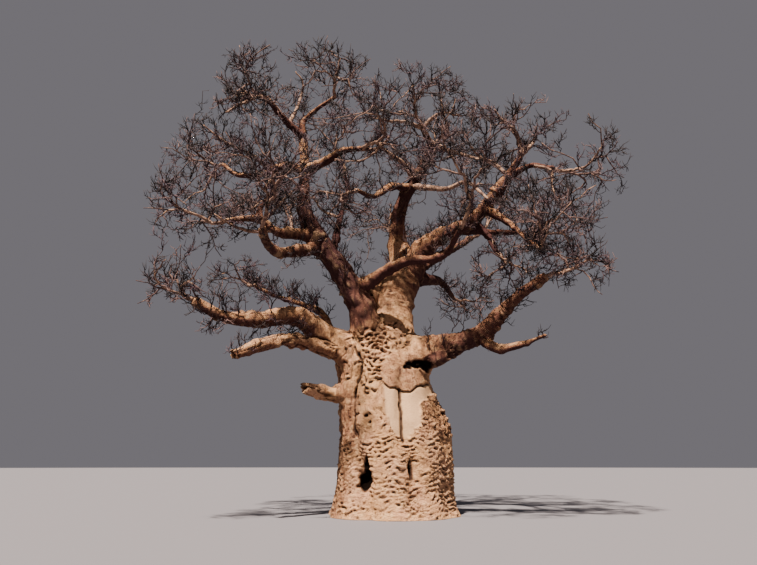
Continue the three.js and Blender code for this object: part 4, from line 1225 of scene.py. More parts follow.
def limb_knots(finder):
    """Knots along the limbs: each one's limb, way along it, turn round it, size and height."""
    dice = np.random.default_rng(KNOT_SEED)
    for number, (middles, _, radii) in enumerate(finder.lines.values()):
        length = step_lengths(middles).sum()
        for way in np.arange(0.5, length, KNOT_GAP):
            radius = np.interp(way, np.linspace(0, length, len(radii)), radii)
            size = dice.uniform(*KNOT_SIZE) * min(radius, KNOT_WIDEST) + KNOT_LEAST
            at = way + dice.uniform(-KNOT_STRAY, KNOT_STRAY)
            yield number, at, dice.uniform(0, KNOT_TURN), size, size * dice.uniform(*KNOT_RISE)


def broken_ends(points, finder):
    """How far the splintered ends of broken limbs stand in or out along the limb, and how dark they are
    painted: painted shade in the pit at the middle of each end, and darker where the splinters stand out.
    """
    shift = np.zeros_like(points)
    dark = np.zeros(len(points))
    for name in BROKEN:
        middles, headings, radii = finder.lines[name]
        offset = points - middles[-1]
        ahead = offset @ headings[-1]
        aside = np.linalg.norm(offset - ahead[:, None] * headings[-1], axis=1)
        near = (aside < END_WIDER * radii[-1]) & (np.abs(ahead) < END_AHEAD) & (ahead > END_BEHIND)
        jag = rough(points[near], *END_JAGS)
        pit = np.exp(-(aside[near] / (END_PIT_SHARE * radii[-1])) ** 2)
        shift[near] = (jag * 0.1 - 0.03 - 0.15 * pit)[:, None] * headings[-1]
        dark[near] = np.clip(1.2 * pit + 0.5 * jag, 0, 1)
    return shift, dark


def bark_shape(finder):
    """The fused bark of the trunk and the stout limbs, with its relief and what the finish needs."""
    skins = [skin(trunk_rings()), skin(web_rings())]
    for name in STOUT:
        points, headings, radii = limb_line(name, STOUT_STEP)
        skins.append(skin(tube_rings(points, headings, radii, STOUT_SIDES)))
    points, quads = fused(skins, VOXEL)
    points = relax(saddles(points, finder), quads, RELAX_TURNS)
    normals = normals_of(points, quads)
    on_trunk, trunk_shift, smooth, trunk_fold_shade, rusty, trunk_tint = trunk_detail(points)
    limb_shift, limb_fold_shade, limb_tint, limb, along = limb_detail(points, finder)
    depth, dark = hollows(bent_places(points, HOLLOW_BENDS))
    shift = (on_trunk * trunk_shift + (1 - on_trunk) * limb_shift) * (1 - dark) - depth
    shift = shift * step_up(points[:, 2], -0.02, 0.12)
    # The ends of broken limbs: splinters, and painted shade in the pit of each end
    splinters, end_pit_shade_and_jags = broken_ends(points, finder)
    points = points + normals * shift[:, None] + splinters
    points[:, 2] = np.maximum(points[:, 2], 0)
    normals = normals_of(points, quads)
    # How far each place lies below its neighbours: painted shade in what is sunken and a painted highlight on
    # the edges that stand out
    shade_and_highlight = blurred(((pooled(points, quads) - points) * normals).sum(1), quads, SUNK_BLUR)
    # The undersides of the limbs are painted browner: painted shade
    under = UNDERSIDE_SHADE * step_up(-normals[:, 2], *UNDER_TILT)
    brown = on_trunk * trunk_tint + (1 - on_trunk) * (limb_tint + under)
    # The fold values carry painted shade in folds, crevices, pits and hollows, with dark streaks on the limbs
    finish = {
        "smooth": on_trunk * smooth,
        "fold": np.maximum(on_trunk * trunk_fold_shade + (1 - on_trunk) * limb_fold_shade, np.maximum(1.6 * dark, end_pit_shade_and_jags)),
        "rusty": on_trunk * rusty + LIMB_RUST * (1 - on_trunk) * among(limb, RUSTY),
        "brown": blurred(brown, quads, BROWN_BLUR),
        "shade_and_highlight": np.clip(shade_and_highlight / SUNK_DEPTH, -1, 1),
    }
    home = np.where(on_trunk > 0.5, -1, limb)
    home[(along < ROOT_PART) & among(limb, FROM_TRUNK)] = -1
    return points, quads, normals, finish, home


def rim_loops(rim):
    """The closed loops that the edges of a cut make, as lists of vertex numbers."""
    following = {}
    for start, end in rim.tolist():
        following.setdefault(start, []).append(end)
    while following:
        first = next(iter(following))
        loop = [first]
        while True:
            ends = following[loop[-1]]
            end = ends.pop()
            if not ends:
                del following[loop[-1]]
            if end == first:
                break
            loop.append(end)
        yield loop


def cut_piece(points, quads, chosen):
    """The chosen quads as a closed piece: a fan of triangles closes each cut. It returns the vertex
    that each new one is taken from, the middles of the fans, which come last, and the faces."""
    faces = quads[chosen]
    edges = np.stack([faces.ravel(), np.roll(faces, -1, axis=1).ravel()], axis=1)
    count = len(points)
    forward = edges[:, 0] * count + edges[:, 1]
    back = edges[:, 1] * count + edges[:, 0]
    kept = np.unique(faces)
    number = np.full(count, -1)
    number[kept] = np.arange(len(kept))
    middles = []
    beside = []
    triangles = []
    for loop in rim_loops(edges[~np.isin(back, forward)]):
        hub = len(kept) + len(middles)
        middles.append(points[loop].mean(0))
        beside.append(loop[0])
        ring = number[loop]
        triangles.extend([[int(b), int(a), hub] for a, b in zip(ring, np.roll(ring, -1))])
    source = np.concatenate([kept, np.array(beside, dtype=kept.dtype)])
    return source, np.array(middles).reshape(-1, 3), number[faces], np.array(triangles).reshape(-1, 3)


def mesh_object(name, points, *polygon_sets):
    """A smooth shaded object from points and arrays of polygons."""
    corners = np.concatenate([polygons.ravel() for polygons in polygon_sets if len(polygons)])
    sizes = np.concatenate([
        np.full(len(polygons), polygons.shape[1]) for polygons in polygon_sets if len(polygons)
    ])
    mesh = bpy.data.meshes.new(name)
    mesh.vertices.add(len(points))
    mesh.vertices.foreach_set("co", points.astype(np.float32).ravel())
    mesh.loops.add(len(corners))
    mesh.loops.foreach_set("vertex_index", corners.astype(np.int32))
    mesh.polygons.add(len(sizes))
    mesh.polygons.foreach_set("loop_start", np.concatenate([[0], np.cumsum(sizes)[:-1]]).astype(np.int32))
    mesh.update(calc_edges=True)
    mesh.shade_smooth()
    made = bpy.data.objects.new(name, mesh)
    bpy.context.scene.collection.objects.link(made)
    return made


def set_finish(made, finish):
    """Stores what the finish needs at each vertex of a piece."""
    for name, values in finish.items():
        attribute = made.data.attributes.new(name, "FLOAT", "POINT")
        attribute.data.foreach_set("value", values.astype(np.float32))


def bark_pieces(finder):
    """The fused bark as pieces that meet in hidden cuts."""
    points, quads, normals, finish, home = bark_shape(finder)
    side = np.zeros(len(points), dtype=int)
    for index, group in enumerate(BARK_GROUPS.values()):
        side[among(home, group)] = index + 1
    shares = blurred(np.eye(len(BARK_GROUPS) + 1)[side], quads, LABEL_BLUR)
    label = shares.argmax(1)[quads[:, 0]]
    made = {}
    for index, name in enumerate(["bark_trunk", *BARK_GROUPS]):
        source, middles, faces, triangles = cut_piece(points, quads, label == index)
        places = points[source]
        places[len(source) - len(middles):] = middles
        piece = mesh_object(name, places, faces, triangles)
        set_finish(piece, {key: values[source] for key, values in finish.items()})
        piece.data.normals_split_custom_set_from_vertices(normals[source].tolist())
        made[name] = piece
    return made


def bough_tubes(finder, names):
    """The slimmer boughs as one mesh of knobbly tubes."""
    parts = []
    for name in names:
        points, headings, radii = limb_line(name, SLIM_STEP)
        radii = radii * (1 + BOUGH_LUMPS[0] * lumps(points, *BOUGH_LUMPS[1:]))
        radii[-1] *= BOUGH_END
        parts.append(skin(tube_rings(points, headings, radii, SLIM_SIDES)))
    starts = np.cumsum([0] + [len(vertices) for vertices, faces in parts])
    quads, caps = (
        np.vstack([
            np.array([face for face in faces if len(face) == size]) + start
            for start, (vertices, faces) in zip(starts, parts)
        ])
        for size in (4, SLIM_SIDES)
    )
    points = np.vstack([vertices for vertices, faces in parts])
    shift, fold, brown = limb_detail(points, finder)[:3]
    points = points + normals_of(points, quads) * shift[:, None]
    # The undersides are painted browner: painted shade
    brown = brown + UNDERSIDE_SHADE * step_up(-normals_of(points, quads)[:, 2], *UNDER_TILT)
    piece = mesh_object("bark_boughs", points, quads, caps)
    nothing = np.zeros(len(points))
    set_finish(piece, {"smooth": nothing, "fold": fold, "rusty": nothing, "brown": brown, "shade_and_highlight": nothing})
    return piece


class SameRandom:
    """Random numbers that come out the same as in the solids."""

    def __init__(self, seed):
        self.state = seed

    def __call__(self):
        self.state = (self.state + 0x6D2B79F5) & WORD
        mixed = ((self.state ^ (self.state >> 15)) * (self.state | 1)) & WORD
        mixed ^= (mixed + ((mixed ^ (mixed >> 7)) * (mixed | 61) & WORD)) & WORD
        return (mixed ^ (mixed >> 14)) / (WORD + 1)


class Spaces:
    """The spaces of the masses, and how deep a point lies in each."""

    def __init__(self):
        self.names = list(MASSES)
        self.middles = np.array([MASSES[name][1] for name in self.names])
        self.halves = np.array([MASSES[name][2] for name in self.names])

    def depths(self, points):
        """0 in the middle of a space and 1 at its edge, for each point and each space."""
        points = np.asarray(points)
        return np.linalg.norm((points[..., None, :] - self.middles) / self.halves, axis=-1)

    def hold(self, points):
        """True for each point that lies in a space and in the box that the solids fill."""
        low, high = np.array(cad_box)
        boxed = np.all((points > low - BOX_SPARE) & (points < high + BOX_SPARE), axis=-1)
        return boxed & (self.depths(points).min(-1) < FULL)

    def own(self, index, point):
        """True where a point lies in that space, clear of its neighbours' spaces."""
        depths = self.depths(point)
        own = depths[index]
        depths[index] = 9
        return own <= RIM and bool(np.all(own + EDGE < depths))

    def place(self, index, random, on_edge):
        """A point in a space that is its own."""
        while True:
            turn = random() * 2 * math.pi
            rise = LOWEST + random() * (1 - LOWEST)
            inward = random() ** OUTWARD
            out = 1 if on_edge else inward
            flat = math.sqrt(1 - rise * rise)
            way = np.array((flat * math.cos(turn), flat * math.sin(turn), rise))
            point = self.middles[index] + self.halves[index] * out * way
            if self.own(index, point):
                return point

    def tips(self, index, random):
        """The tips of a mass, spread evenly: the same as in the solids."""
        tips = []
        while len(tips) < TIPS:
            on_edge = len(tips) % 2 == 0
            best = self.place(index, random, on_edge)
            room = 0
            for _ in range(CHOICES - 1):
                place = self.place(index, random, on_edge)
                nearest = min([np.linalg.norm(tip - place) for tip in tips], default=math.inf)
                if nearest > room:
                    room = nearest
                    best = place
            tips.append(best)
        return tips


class Rule:
    """How branches grow: the share of the way that they go before they fork, the share of their old
    heading that they keep, how far they stray, and how thick they are."""

    def __init__(self, stride, inertia, crook, tip_radius, power):
        self.stride = stride
        self.inertia = inertia
        self.crook = crook
        self.tip_radius = tip_radius
        self.power = power

    def radius(self, count):
        return self.tip_radius * count ** self.power


COARSE = Rule(stride=0.42, inertia=0.5, crook=0.28, tip_radius=0.024, power=0.46)
FINE = Rule(stride=0.38, inertia=0.35, crook=0.38, tip_radius=0.0135, power=0.45)


def split_tips(tips):
    """The tips in two halves, parted across the way in which they spread most."""
    places = np.array(tips)
    middle = places.mean(0)
    axis = places[-1] - places[0]
    axis = axis / max(math.sqrt(axis @ axis), 1e-9)
    away = places - middle
    for _ in range(AXIS_TURNS):
        axis = away.T @ (away @ axis)
        axis = axis / max(math.sqrt(axis @ axis), 1e-9)
    near_side = away @ axis < 0
    near = [tip for tip, is_near in zip(tips, near_side) if is_near]
    far = [tip for tip, is_near in zip(tips, near_side) if not is_near]
    return (near, far) if len(near) > len(far) else (far, near)


def grow_branch(parent, start, heading, tips, random, rule, branches):
    """Grows a branch from its start towards its tips, and adds it and all that forks from it."""
    branch = {"parent": parent, "fork": 0, "heading": heading, "points": [start], "counts": [len(tips)]}
    if parent is not None:
        branch["fork"] = len(parent["points"]) - 1
    branches.append(branch)
    at = start
    along = heading
    rest = tips
    while len(rest) > 1:
        aim = np.mean(rest, axis=0) - at
        stray = np.array((random() - 0.5, random() - 0.5, random() - 0.5))
        distance = max(math.sqrt(aim @ aim), 1e-6)
        along = along * rule.inertia + aim * ((1 - rule.inertia) / distance) + stray * (2 * rule.crook)
        along = along / math.sqrt(along @ along)
        at = at + along * distance * rule.stride
        main, side = split_tips(rest)
        if not side:
            break
        branch["points"].append(at)
        branch["counts"].append(len(main))
        grow_branch(branch, at, along, side, random, rule, branches)
        rest = main
    branch["points"].append(rest[0])
    branch["counts"].append(1)


def steps_between(start, end):
    """Points at short steps from one point to another."""
    count = max(1, math.ceil(np.linalg.norm(end - start) / CHECK_STEP))
    return start + (end - start) * np.linspace(0, 1, count + 1)[:, None]


def limb_points_except(finder, own):
    """Points close together along every limb but one, with the limb's radius at each."""
    places = []
    thick = []
    for name, (middles, _, radii) in finder.lines.items():
        if name != own:
            places.append(middles)
            thick.append(radii)
    return np.vstack(places), np.concatenate(thick)


def kept_points(branch, index, spaces, limbs):
    """How many of a branch's points it may keep before it would leave its space or touch a limb."""
    if branch["parent"] is not None and branch["parent"]["kept"] <= branch["fork"]:
        return 0
    places, thick = limbs
    kept = 1
    while kept < len(branch["points"]):
        radius = COARSE.radius(branch["counts"][kept - 1])
        steps = steps_between(branch["points"][kept - 1], branch["points"][kept])
        depths = spaces.depths(steps)
        own = depths[:, index].copy()
        depths[:, index] = 9
        free = np.all(depths.min(1) > np.minimum(own, 1))
        clear = np.all(np.linalg.norm(steps[:, None] - places, axis=2) > thick + radius + LIMB_GAP)
        if not (free and clear):
            break
        kept += 1
    return kept


def coarse_branches(index, spaces, finder):
    """The branches of one mass, the same as in the solids."""
    bough = MASSES[spaces.names[index]][0]
    middles, headings = finder.lines[bough][:2]
    random = SameRandom(SEED + SEED_STEP * index)
    branches = []
    tips = spaces.tips(index, random)
    grow_branch(None, middles[-1], headings[-1], tips, random, COARSE, branches)
    limbs = limb_points_except(finder, bough)
    grown = []
    for branch in branches:
        branch["kept"] = kept_points(branch, index, spaces, limbs)
        if branch["kept"] > 1:
            grown.append(branch)
    return grown


def fork_radius(branch, radius, rule, shares):
    """A branch's radius where it forks off: a little more than its own, but less than its parent's."""
    parent = rule.radius(branch["parent"]["counts"][branch["fork"]])
    return min(radius * shares[0], parent * shares[1])


def coarse_rod(branch):
    """A branch's points and radii, through the points that it keeps."""
    points = np.array(branch["points"][:branch["kept"]])
    radii = np.array([COARSE.radius(count) for count in branch["counts"][:branch["kept"]]])
    if branch["parent"] is not None:
        radii[0] = fork_radius(branch, radii[0], COARSE, COARSE_FORK)
    radii[-1] = COARSE.radius(1) * COARSE_TIP_SHARE
    return points, radii


def side_rods(finder):
    """The side boughs that the masses hold, each rooted on the limb nearest to its start."""
    middles = np.vstack([line[0] for line in finder.lines.values()])
    rods = []
    for route, thick in SIDE_BOUGHS:
        nearest = middles[np.linalg.norm(middles - route[0], axis=1).argmin()]
        points = smooth_line((tuple(nearest), *route[1:]), SIDE_STEP)[0]
        share = np.linspace(0, 1, len(points))
        rods.append((points, SIDE_STOUT * (thick[0] + (thick[1] - thick[0]) * share ** LIMB_TAPER) / 2))
    return rods


def bent(points, radii, share, dice):
    """The same rod with a point more in the middle of each long stretch, pushed aside."""
    lengths = step_lengths(points)
    middles = (points[:-1] + points[1:]) / 2
    middles = middles + dice.normal(size=middles.shape) * (share * lengths)[:, None]
    long = lengths > BEND_OVER
    where = np.flatnonzero(long) + 1
    halfway = (radii[:-1] + radii[1:]) / 2
    return np.insert(points, where, middles[long], axis=0), np.insert(radii, where, halfway[long])


def nodes_along(points, radii, step, first):
    """Places along a rod where sprays may start, with the heading and the radius at each."""
    run = run_along(points)
    at = np.append(np.arange(first, run[-1], step), run[-1])
    places = at_run(at, run, points)
    behind = at_run(at - NODE_LOOK, run, points)
    return places, unit(places - behind + 1e-6), np.interp(at, run, radii)


def spray_tips(start, axis, across, reach, count, dice):
    """The ends of a spray of twigs: places in a flat fan ahead of its start, turned up a little."""
    over = np.cross(axis, across)
    share = (np.arange(count) + dice.uniform(*FAN_JITTER, count)) / count * 2 - 1
    sideways = share * FAN_WIDTH
    lift = dice.uniform(-1, 1, count) * FAN_DEPTH
    ways = unit(axis + sideways[:, None] * across + lift[:, None] * over)
    far = reach * dice.uniform(*FAN_REACH, count) * (1 - FAN_ROUND * np.abs(share))
    tips = start + ways * far[:, None]
    tips[:, 2] += FAN_RISE * far ** 2
    return tips


def grow_spray(start, axis, tips, limit, dice):
    """The twigs of a spray, no thicker at its start than the limit, and the tone of each."""
    spray = []
    grow_branch(None, start, axis, tips, dice.random, FINE, spray)
    spray[0]["limit"] = limit
    tone = int(dice.choice(len(TONE_SHARES), p=TONE_SHARES))
    return [(branch, tone) for branch in spray]


def spray_axis(heading, turn, outward, last):
    """The way that a spray points: ahead at the end of a rod, and off to one side elsewhere."""
    side = np.cross(heading, SIDE_REFERENCE)
    side = side / np.linalg.norm(side)
    aside = math.cos(turn) * side + math.sin(turn) * np.cross(side, heading)
    outward = outward / max(np.linalg.norm(outward), LEAST_OUTWARD)
    if last:
        axis = weighed(END_AXIS, heading, outward, aside)
    else:
        axis = weighed(ASIDE_AXIS, heading, aside, outward)
    return unit(axis + (0, 0, SPRAY_RISE))


def sprays_from(nodes, spaces, root, dice, share):
    """Sprays of twigs from places along a rod, on alternate sides and pointing outward."""
    grown = []
    places, headings, radii = nodes
    turn = dice.uniform(0, 2 * math.pi)
    for number, (place, heading, radius) in enumerate(zip(places, headings, radii)):
        depth = spaces.depths(place).min()
        turn += GOLDEN_TURN
        last = number == len(places) - 1
        outer = float(step_up(depth, *OUTER_DEPTHS))
        if not last and dice.uniform() > share * (INNER_SHARE + (1 - INNER_SHARE) * outer):
            continue
        axis = spray_axis(heading, turn, place - root, last)
        across = unit(np.cross(axis, dice.normal(size=3)))
        reach = dice.uniform(*SPRAY_REACH) * (INNER_REACH if depth < INNER_DEPTH else 1.0)
        tips = spray_tips(place, axis, across, reach, int(dice.integers(*SPRAY_TIPS)), dice)
        tips = list(tips[spaces.hold(tips)])
        if tips:
            grown.extend(grow_spray(place, axis, tips, radius, dice))
    return grown


def shoots_on(line, share, dice):
    """Thin shoots that stand up from a limb's bark, each forking into a few twigs."""
    middles, headings, radii = line
    start, end, often, least, greatest, rise = share
    length = step_lengths(middles).sum()
    grown = []
    for _ in range(int(often * length * (end - start))):
        at = int(dice.uniform(start, end) * (len(middles) - 1))
        aside = np.cross(headings[at], dice.normal(size=3))
        aside = unit(aside + (0, 0, rise))
        aside = unit(aside - headings[at] * (aside @ headings[at]))
        root = middles[at] + aside * radii[at] * SHOOT_SUNK
        axis = unit(SHOOT_ASIDE * aside + SHOOT_AHEAD * headings[at] + (0, 0, rise))
        across = unit(np.cross(axis, dice.normal(size=3)))
        reach = dice.uniform(least, greatest)
        tips = spray_tips(root, axis, across, reach, int(dice.integers(*SHOOT_TIPS)), dice)
        grown.extend(grow_spray(root, axis, list(tips), SHOOT_RADIUS, dice))
    return grown


def fine_rod(branch):
    """A twig's points and radii."""
    points = np.array(branch["points"])
    radii = np.array([FINE.radius(count) for count in branch["counts"]])
    if branch["parent"] is None:
        radii = np.minimum(radii, max(branch["limit"] * FINE_SHARE, FINE.tip_radius))
    else:
        radii[0] = fork_radius(branch, radii[0], FINE, FINE_FORK)
    radii[-1] *= TIP_SHARE
    return points, radii


def spurs(points, radii, dice):
    """Short shoots that stand off a twig on both sides, turned up at their ends."""
    found = []
    for start, end, radius in zip(points, points[1:], radii):
        way = end - start
        length = math.sqrt(way @ way)
        for _ in range(dice.poisson(length / SPUR_GAP)):
            root = start + way * dice.uniform(*SPUR_PLACES)
            aside = dice.normal(size=3)
            aside = aside / math.sqrt(aside @ aside)
            heading = way / length * SPUR_AHEAD + aside * SPUR_ASIDE + (0, 0, SPUR_UP)
            heading = heading / math.sqrt(heading @ heading)
            long = dice.uniform(*SPUR_LENGTH)
            middle = root + heading * long * SPUR_MIDDLE
            tip = root + heading * long + (0, 0, long * SPUR_TURN_UP)
            base = min(radius * SPUR_SHARE, SPUR_RADIUS)
            found.append((np.array((root, middle, tip)), base * np.array(SPUR_TAPER)))
    return found


def off_limbs(rods, finder):
    """The rods that stay clear of every limb, apart from their first points."""
    counts = np.array([len(rod[0]) for rod in rods])
    gap = finder.place(np.vstack([rod[0] for rod in rods]))[0]
    ends = np.cumsum(counts)
    return [
        rod for rod, start, end in zip(rods, ends - counts, ends)
        if gap[start + 1:end].min() > TWIG_CLEAR
    ]


def rods_mesh(rods, sides):
    """Closed tapering rods as one set of vertices, quads and caps, with the tone of each face."""
    counts = np.array([len(points) for points, radii, tone in rods])
    points = np.vstack([points for points, radii, tone in rods])
    radii = np.concatenate([radii for points, radii, tone in rods])
    tones = np.array([tone for points, radii, tone in rods])
    rod = np.repeat(np.arange(len(rods)), counts)
    last = np.cumsum(counts) - 1
    first = last - counts + 1
    before = np.maximum(np.arange(len(points)) - 1, first[rod])
    after = np.minimum(np.arange(len(points)) + 1, last[rod])
    headings = unit(points[after] - points[before])
    whole = unit(points[last] - points[first])
    square = np.cross(whole, np.where(np.abs(whole[:, 2:3]) < 0.8, (0.0, 0.0, 1.0), (1.0, 0.0, 0.0)))
    side = unit(np.cross(square[rod], headings))
    up = np.cross(headings, side)
    turns = np.arange(sides) / sides * 2 * math.pi
    across = np.cos(turns)[:, None] * side[:, None] + np.sin(turns)[:, None] * up[:, None]
    vertices = (points[:, None] + radii[:, None, None] * across).reshape(-1, 3)
    leaving = np.delete(np.arange(len(points)), last)
    ring = leaving[:, None] * sides + np.arange(sides)
    beside = leaving[:, None] * sides + (np.arange(sides) + 1) % sides
    quads = np.stack([ring, beside, beside + sides, ring + sides], axis=-1).reshape(-1, 4)
    ends = last[:, None] * sides + np.arange(sides)
    starts = (first[:, None] * sides + np.arange(sides))[:, ::-1]
    face_tones = np.concatenate([np.repeat(tones[rod[leaving]], sides), tones, tones])
    return vertices, quads, np.vstack([starts, ends]), face_tones


class Nodes:
    """A material's node tree, with short ways to add and join nodes."""

    def __init__(self, name):
        self.material = bpy.data.materials.new(name)
        self.material.use_nodes = True
        self.tree = self.material.node_tree
        self.shader = self.tree.nodes["Principled BSDF"]

    def give(self, socket, value):
        """Joins a socket to another node's output, or sets its plain value."""
        if isinstance(value, bpy.types.NodeSocket):
            self.tree.links.new(value, socket)
        elif isinstance(value, tuple):
            socket.default_value = (*value, 1.0)
        else:
            socket.default_value = value

    def paint(self, colour, roughness, specular, normal):
        """Gives the shader its colour, sheen and relief, and returns the material."""
        inputs = self.shader.inputs
        self.give(inputs["Base Color"], colour)
        self.give(inputs["Roughness"], roughness)
        inputs["Specular IOR Level"].default_value = specular
        self.give(inputs["Normal"], normal)
        return self.material

    def attribute(self, name):
        node = self.tree.nodes.new("ShaderNodeAttribute")
        node.attribute_name = name
        return node.outputs["Fac"]

    def math(self, operation, first, second=0.0, third=0.0):
        node = self.tree.nodes.new("ShaderNodeMath")
        node.operation = operation
        for socket, value in zip(node.inputs, (first, second, third)):
            self.give(socket, value)
        return node.outputs[0]

    def times(self, first, second):
        """The product of two values."""
        return self.math("MULTIPLY", first, second)

    def ramp(self, value, low, high, most=1.0):
        """0 where the value is on the far side of low, most where it is past high."""
        node = self.tree.nodes.new("ShaderNodeMapRange")
        node.interpolation_type = "SMOOTHSTEP"
        self.tree.links.new(value, node.inputs["Value"])
        node.inputs["From Min"].default_value = low
        node.inputs["From Max"].default_value = high
        node.inputs["To Max"].default_value = most
        return node.outputs["Result"]

    def mix(self, share, first, second, blend="MIX"):
        node = self.tree.nodes.new("ShaderNodeMix")
        node.data_type = "RGBA"
        node.blend_type = blend
        for name, value in (("Factor_Float", share), ("A_Color", first), ("B_Color", second)):
            self.give(next(one for one in node.inputs if one.identifier == name), value)
        return next(one for one in node.outputs if one.identifier == "Result_Color")

    def places(self, stretch):
        """Places in the tree's own frame, squeezed or stretched along each axis."""
        where = self.tree.nodes.new("ShaderNodeTexCoord").outputs["Object"]
        node = self.tree.nodes.new("ShaderNodeMapping")
        self.tree.links.new(where, node.inputs["Vector"])
        node.inputs["Scale"].default_value = stretch
        return node.outputs["Vector"]

    def noise(self, where, scale, detail=4.0, roughness=0.55, distortion=0.0):
        node = self.tree.nodes.new("ShaderNodeTexNoise")
        self.tree.links.new(where, node.inputs["Vector"])
        node.inputs["Scale"].default_value = scale
        node.inputs["Detail"].default_value = detail
        node.inputs["Roughness"].default_value = roughness
        node.inputs["Distortion"].default_value = distortion
        return node.outputs["Fac"]

    def cracks(self, where, scale):
        """How far a place is from the nearest crack of a net of cracks."""
        node = self.tree.nodes.new("ShaderNodeTexVoronoi")
        node.feature = "DISTANCE_TO_EDGE"
        self.tree.links.new(where, node.inputs["Vector"])
        node.inputs["Scale"].default_value = scale
        return node.outputs["Distance"]

    def bump(self, height, distance, strength, below=None):
        node = self.tree.nodes.new("ShaderNodeBump")
        self.tree.links.new(height, node.inputs["Height"])
        node.inputs["Distance"].default_value = distance
        self.give(node.inputs["Strength"], strength)
        if below is not None:
            self.tree.links.new(below, node.inputs["Normal"])
        return node.outputs["Normal"]


def bark_colour(nodes, brown, smooth, even, fine, ragged):
    """The colours of sound bark: tan or pink, browner by degrees, streaked, spotted and sandy."""
    broad = nodes.noise(even, 1.1, 3.0)
    blotch = nodes.noise(even, 5.5, 4.0, 0.6, 0.6)
    streaks = nodes.noise(nodes.places((1, 1, 0.35)), 7.0, 4.0, 0.6, 0.4)
    specks = nodes.noise(even, 13.0, 3.0, 0.6, 0.5)
    colour = nodes.mix(nodes.ramp(broad, 0.35, 0.65), TAN, PINK)
    browned = nodes.math("ADD", brown, nodes.math("MULTIPLY_ADD", blotch, 0.8, -0.4))
    for low, high, darker in ((0.05, 0.65, RUSSET), (0.6, 1.15, BROWN), (1.1, 1.9, UMBER_AND_SHADOW)):
        colour = nodes.mix(nodes.ramp(browned, low, high), colour, darker)
    streakiness = nodes.math("MULTIPLY_ADD", brown, 0.5, 0.34)
    streaked = nodes.times(nodes.ramp(streaks, 0.48, 0.66), streakiness)
    colour = nodes.mix(nodes.times(streaked, ragged), colour, UMBER_AND_SHADOW)
    colour = nodes.mix(nodes.times(nodes.ramp(specks, 0.55, 0.68, 0.72), ragged), colour, UMBER_AND_SHADOW)
    sandy = nodes.times(nodes.ramp(blotch, 0.5, 0.34, 0.6), nodes.ramp(brown, 1.3, 0.3))
    colour = nodes.mix(sandy, colour, SAND_AND_HIGHLIGHT)
    colour = nodes.mix(nodes.times(smooth, 0.85), colour, PALE)
    rust = nodes.times(nodes.attribute("rusty"), nodes.ramp(fine, 0.42, 0.6))
    return nodes.mix(rust, colour, RUST)


def folded_colour(nodes, colour, fine):
    """The same colours with painted shade in folds, hollows and sunken places, and a painted highlight along
    the edges that stand out.
    """
    fold = nodes.attribute("fold")
    shade_and_highlight = nodes.attribute("shade_and_highlight")
    colour = nodes.mix(nodes.ramp(fine, 0.42, 0.72, 0.45), colour, SHADE, "MULTIPLY")
    colour = nodes.mix(nodes.ramp(fold, 0.12, 0.95, 0.85), colour, CREASE_SHADE)
    colour = nodes.mix(nodes.ramp(shade_and_highlight, 0.1, 0.9, 0.6), colour, CREASE_SHADE)
    colour = nodes.mix(nodes.ramp(fold, 1.15, 1.5), colour, HOLLOW_SHADOW)
    lit_edge = nodes.times(nodes.ramp(shade_and_highlight, -0.1, -0.9, 0.3), nodes.ramp(fold, 0.8, 0.3))
    return nodes.mix(lit_edge, colour, SAND_AND_HIGHLIGHT)


def bark_material(name):
    """Bark: tan on the trunk and browner on some limbs, partly as painted shadow, mottled, and with painted
    shade in its folds.
    """
    nodes = Nodes(name)
    smooth = nodes.attribute("smooth")
    even = nodes.places((1, 1, 1))
    level = nodes.places((1, 1, 2.6))
    fine = nodes.noise(level, 16.0, 4.0, 0.6)
    grain = nodes.noise(level, 60.0, 3.0, 0.6)
    ragged = nodes.math("SUBTRACT", 1.0, nodes.times(smooth, 0.8))
    colour = bark_colour(nodes, nodes.attribute("brown"), smooth, even, fine, ragged)
    colour = folded_colour(nodes, colour, fine)
    net = nodes.ramp(nodes.cracks(level, 7.0), 0.0, 0.12)
    relief = nodes.bump(net, 0.02, nodes.times(ragged, 0.6))
    relief = nodes.bump(fine, 0.03, nodes.times(ragged, 0.8), relief)
    relief = nodes.bump(grain, 0.008, 0.5, relief)
    return nodes.paint(colour, nodes.math("MULTIPLY_ADD", fine, 0.16, 0.82), BARK_SHEEN, relief)


def branch_material(name, dark, light):
    """Bark of the branches, with paler and darker patches."""
    nodes = Nodes(name)
    even = nodes.places((1, 1, 1))
    blotch = nodes.noise(even, 5.0, 4.0, 0.6, 0.5)
    fine = nodes.noise(even, 30.0, 3.0)
    colour = nodes.mix(nodes.ramp(blotch, 0.42, 0.62), light, dark)
    colour = nodes.mix(nodes.ramp(blotch, 0.42, 0.3, 0.4), colour, SAND_AND_HIGHLIGHT)
    colour = nodes.mix(nodes.ramp(fine, 0.45, 0.7, 0.4), colour, SHADE, "MULTIPLY")
    return nodes.paint(colour, 0.85, BRANCH_SHEEN, nodes.bump(fine, 0.012, 0.6))


def twig_material(name, dark, light):
    """Twig bark: plain dark and mauve tones in short stretches."""
    nodes = Nodes(name)
    even = nodes.places((1, 1, 1))
    tone = nodes.noise(even, 2.5, 3.0)
    fine = nodes.noise(even, 40.0, 2.0)
    colour = nodes.mix(nodes.ramp(tone, 0.35, 0.65), dark, light)
    colour = nodes.mix(nodes.ramp(fine, 0.45, 0.65, 0.4), colour, SHADE, "MULTIPLY")
    return nodes.paint(colour, 0.8, TWIG_SHEEN, nodes.bump(fine, 0.004, 0.4))


def dress(piece, material, replaced):
    """Gives a piece its material and its place in the model."""
    piece.data.materials.clear()
    piece.data.materials.append(material)
    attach(piece, "root")
    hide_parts(*replaced)


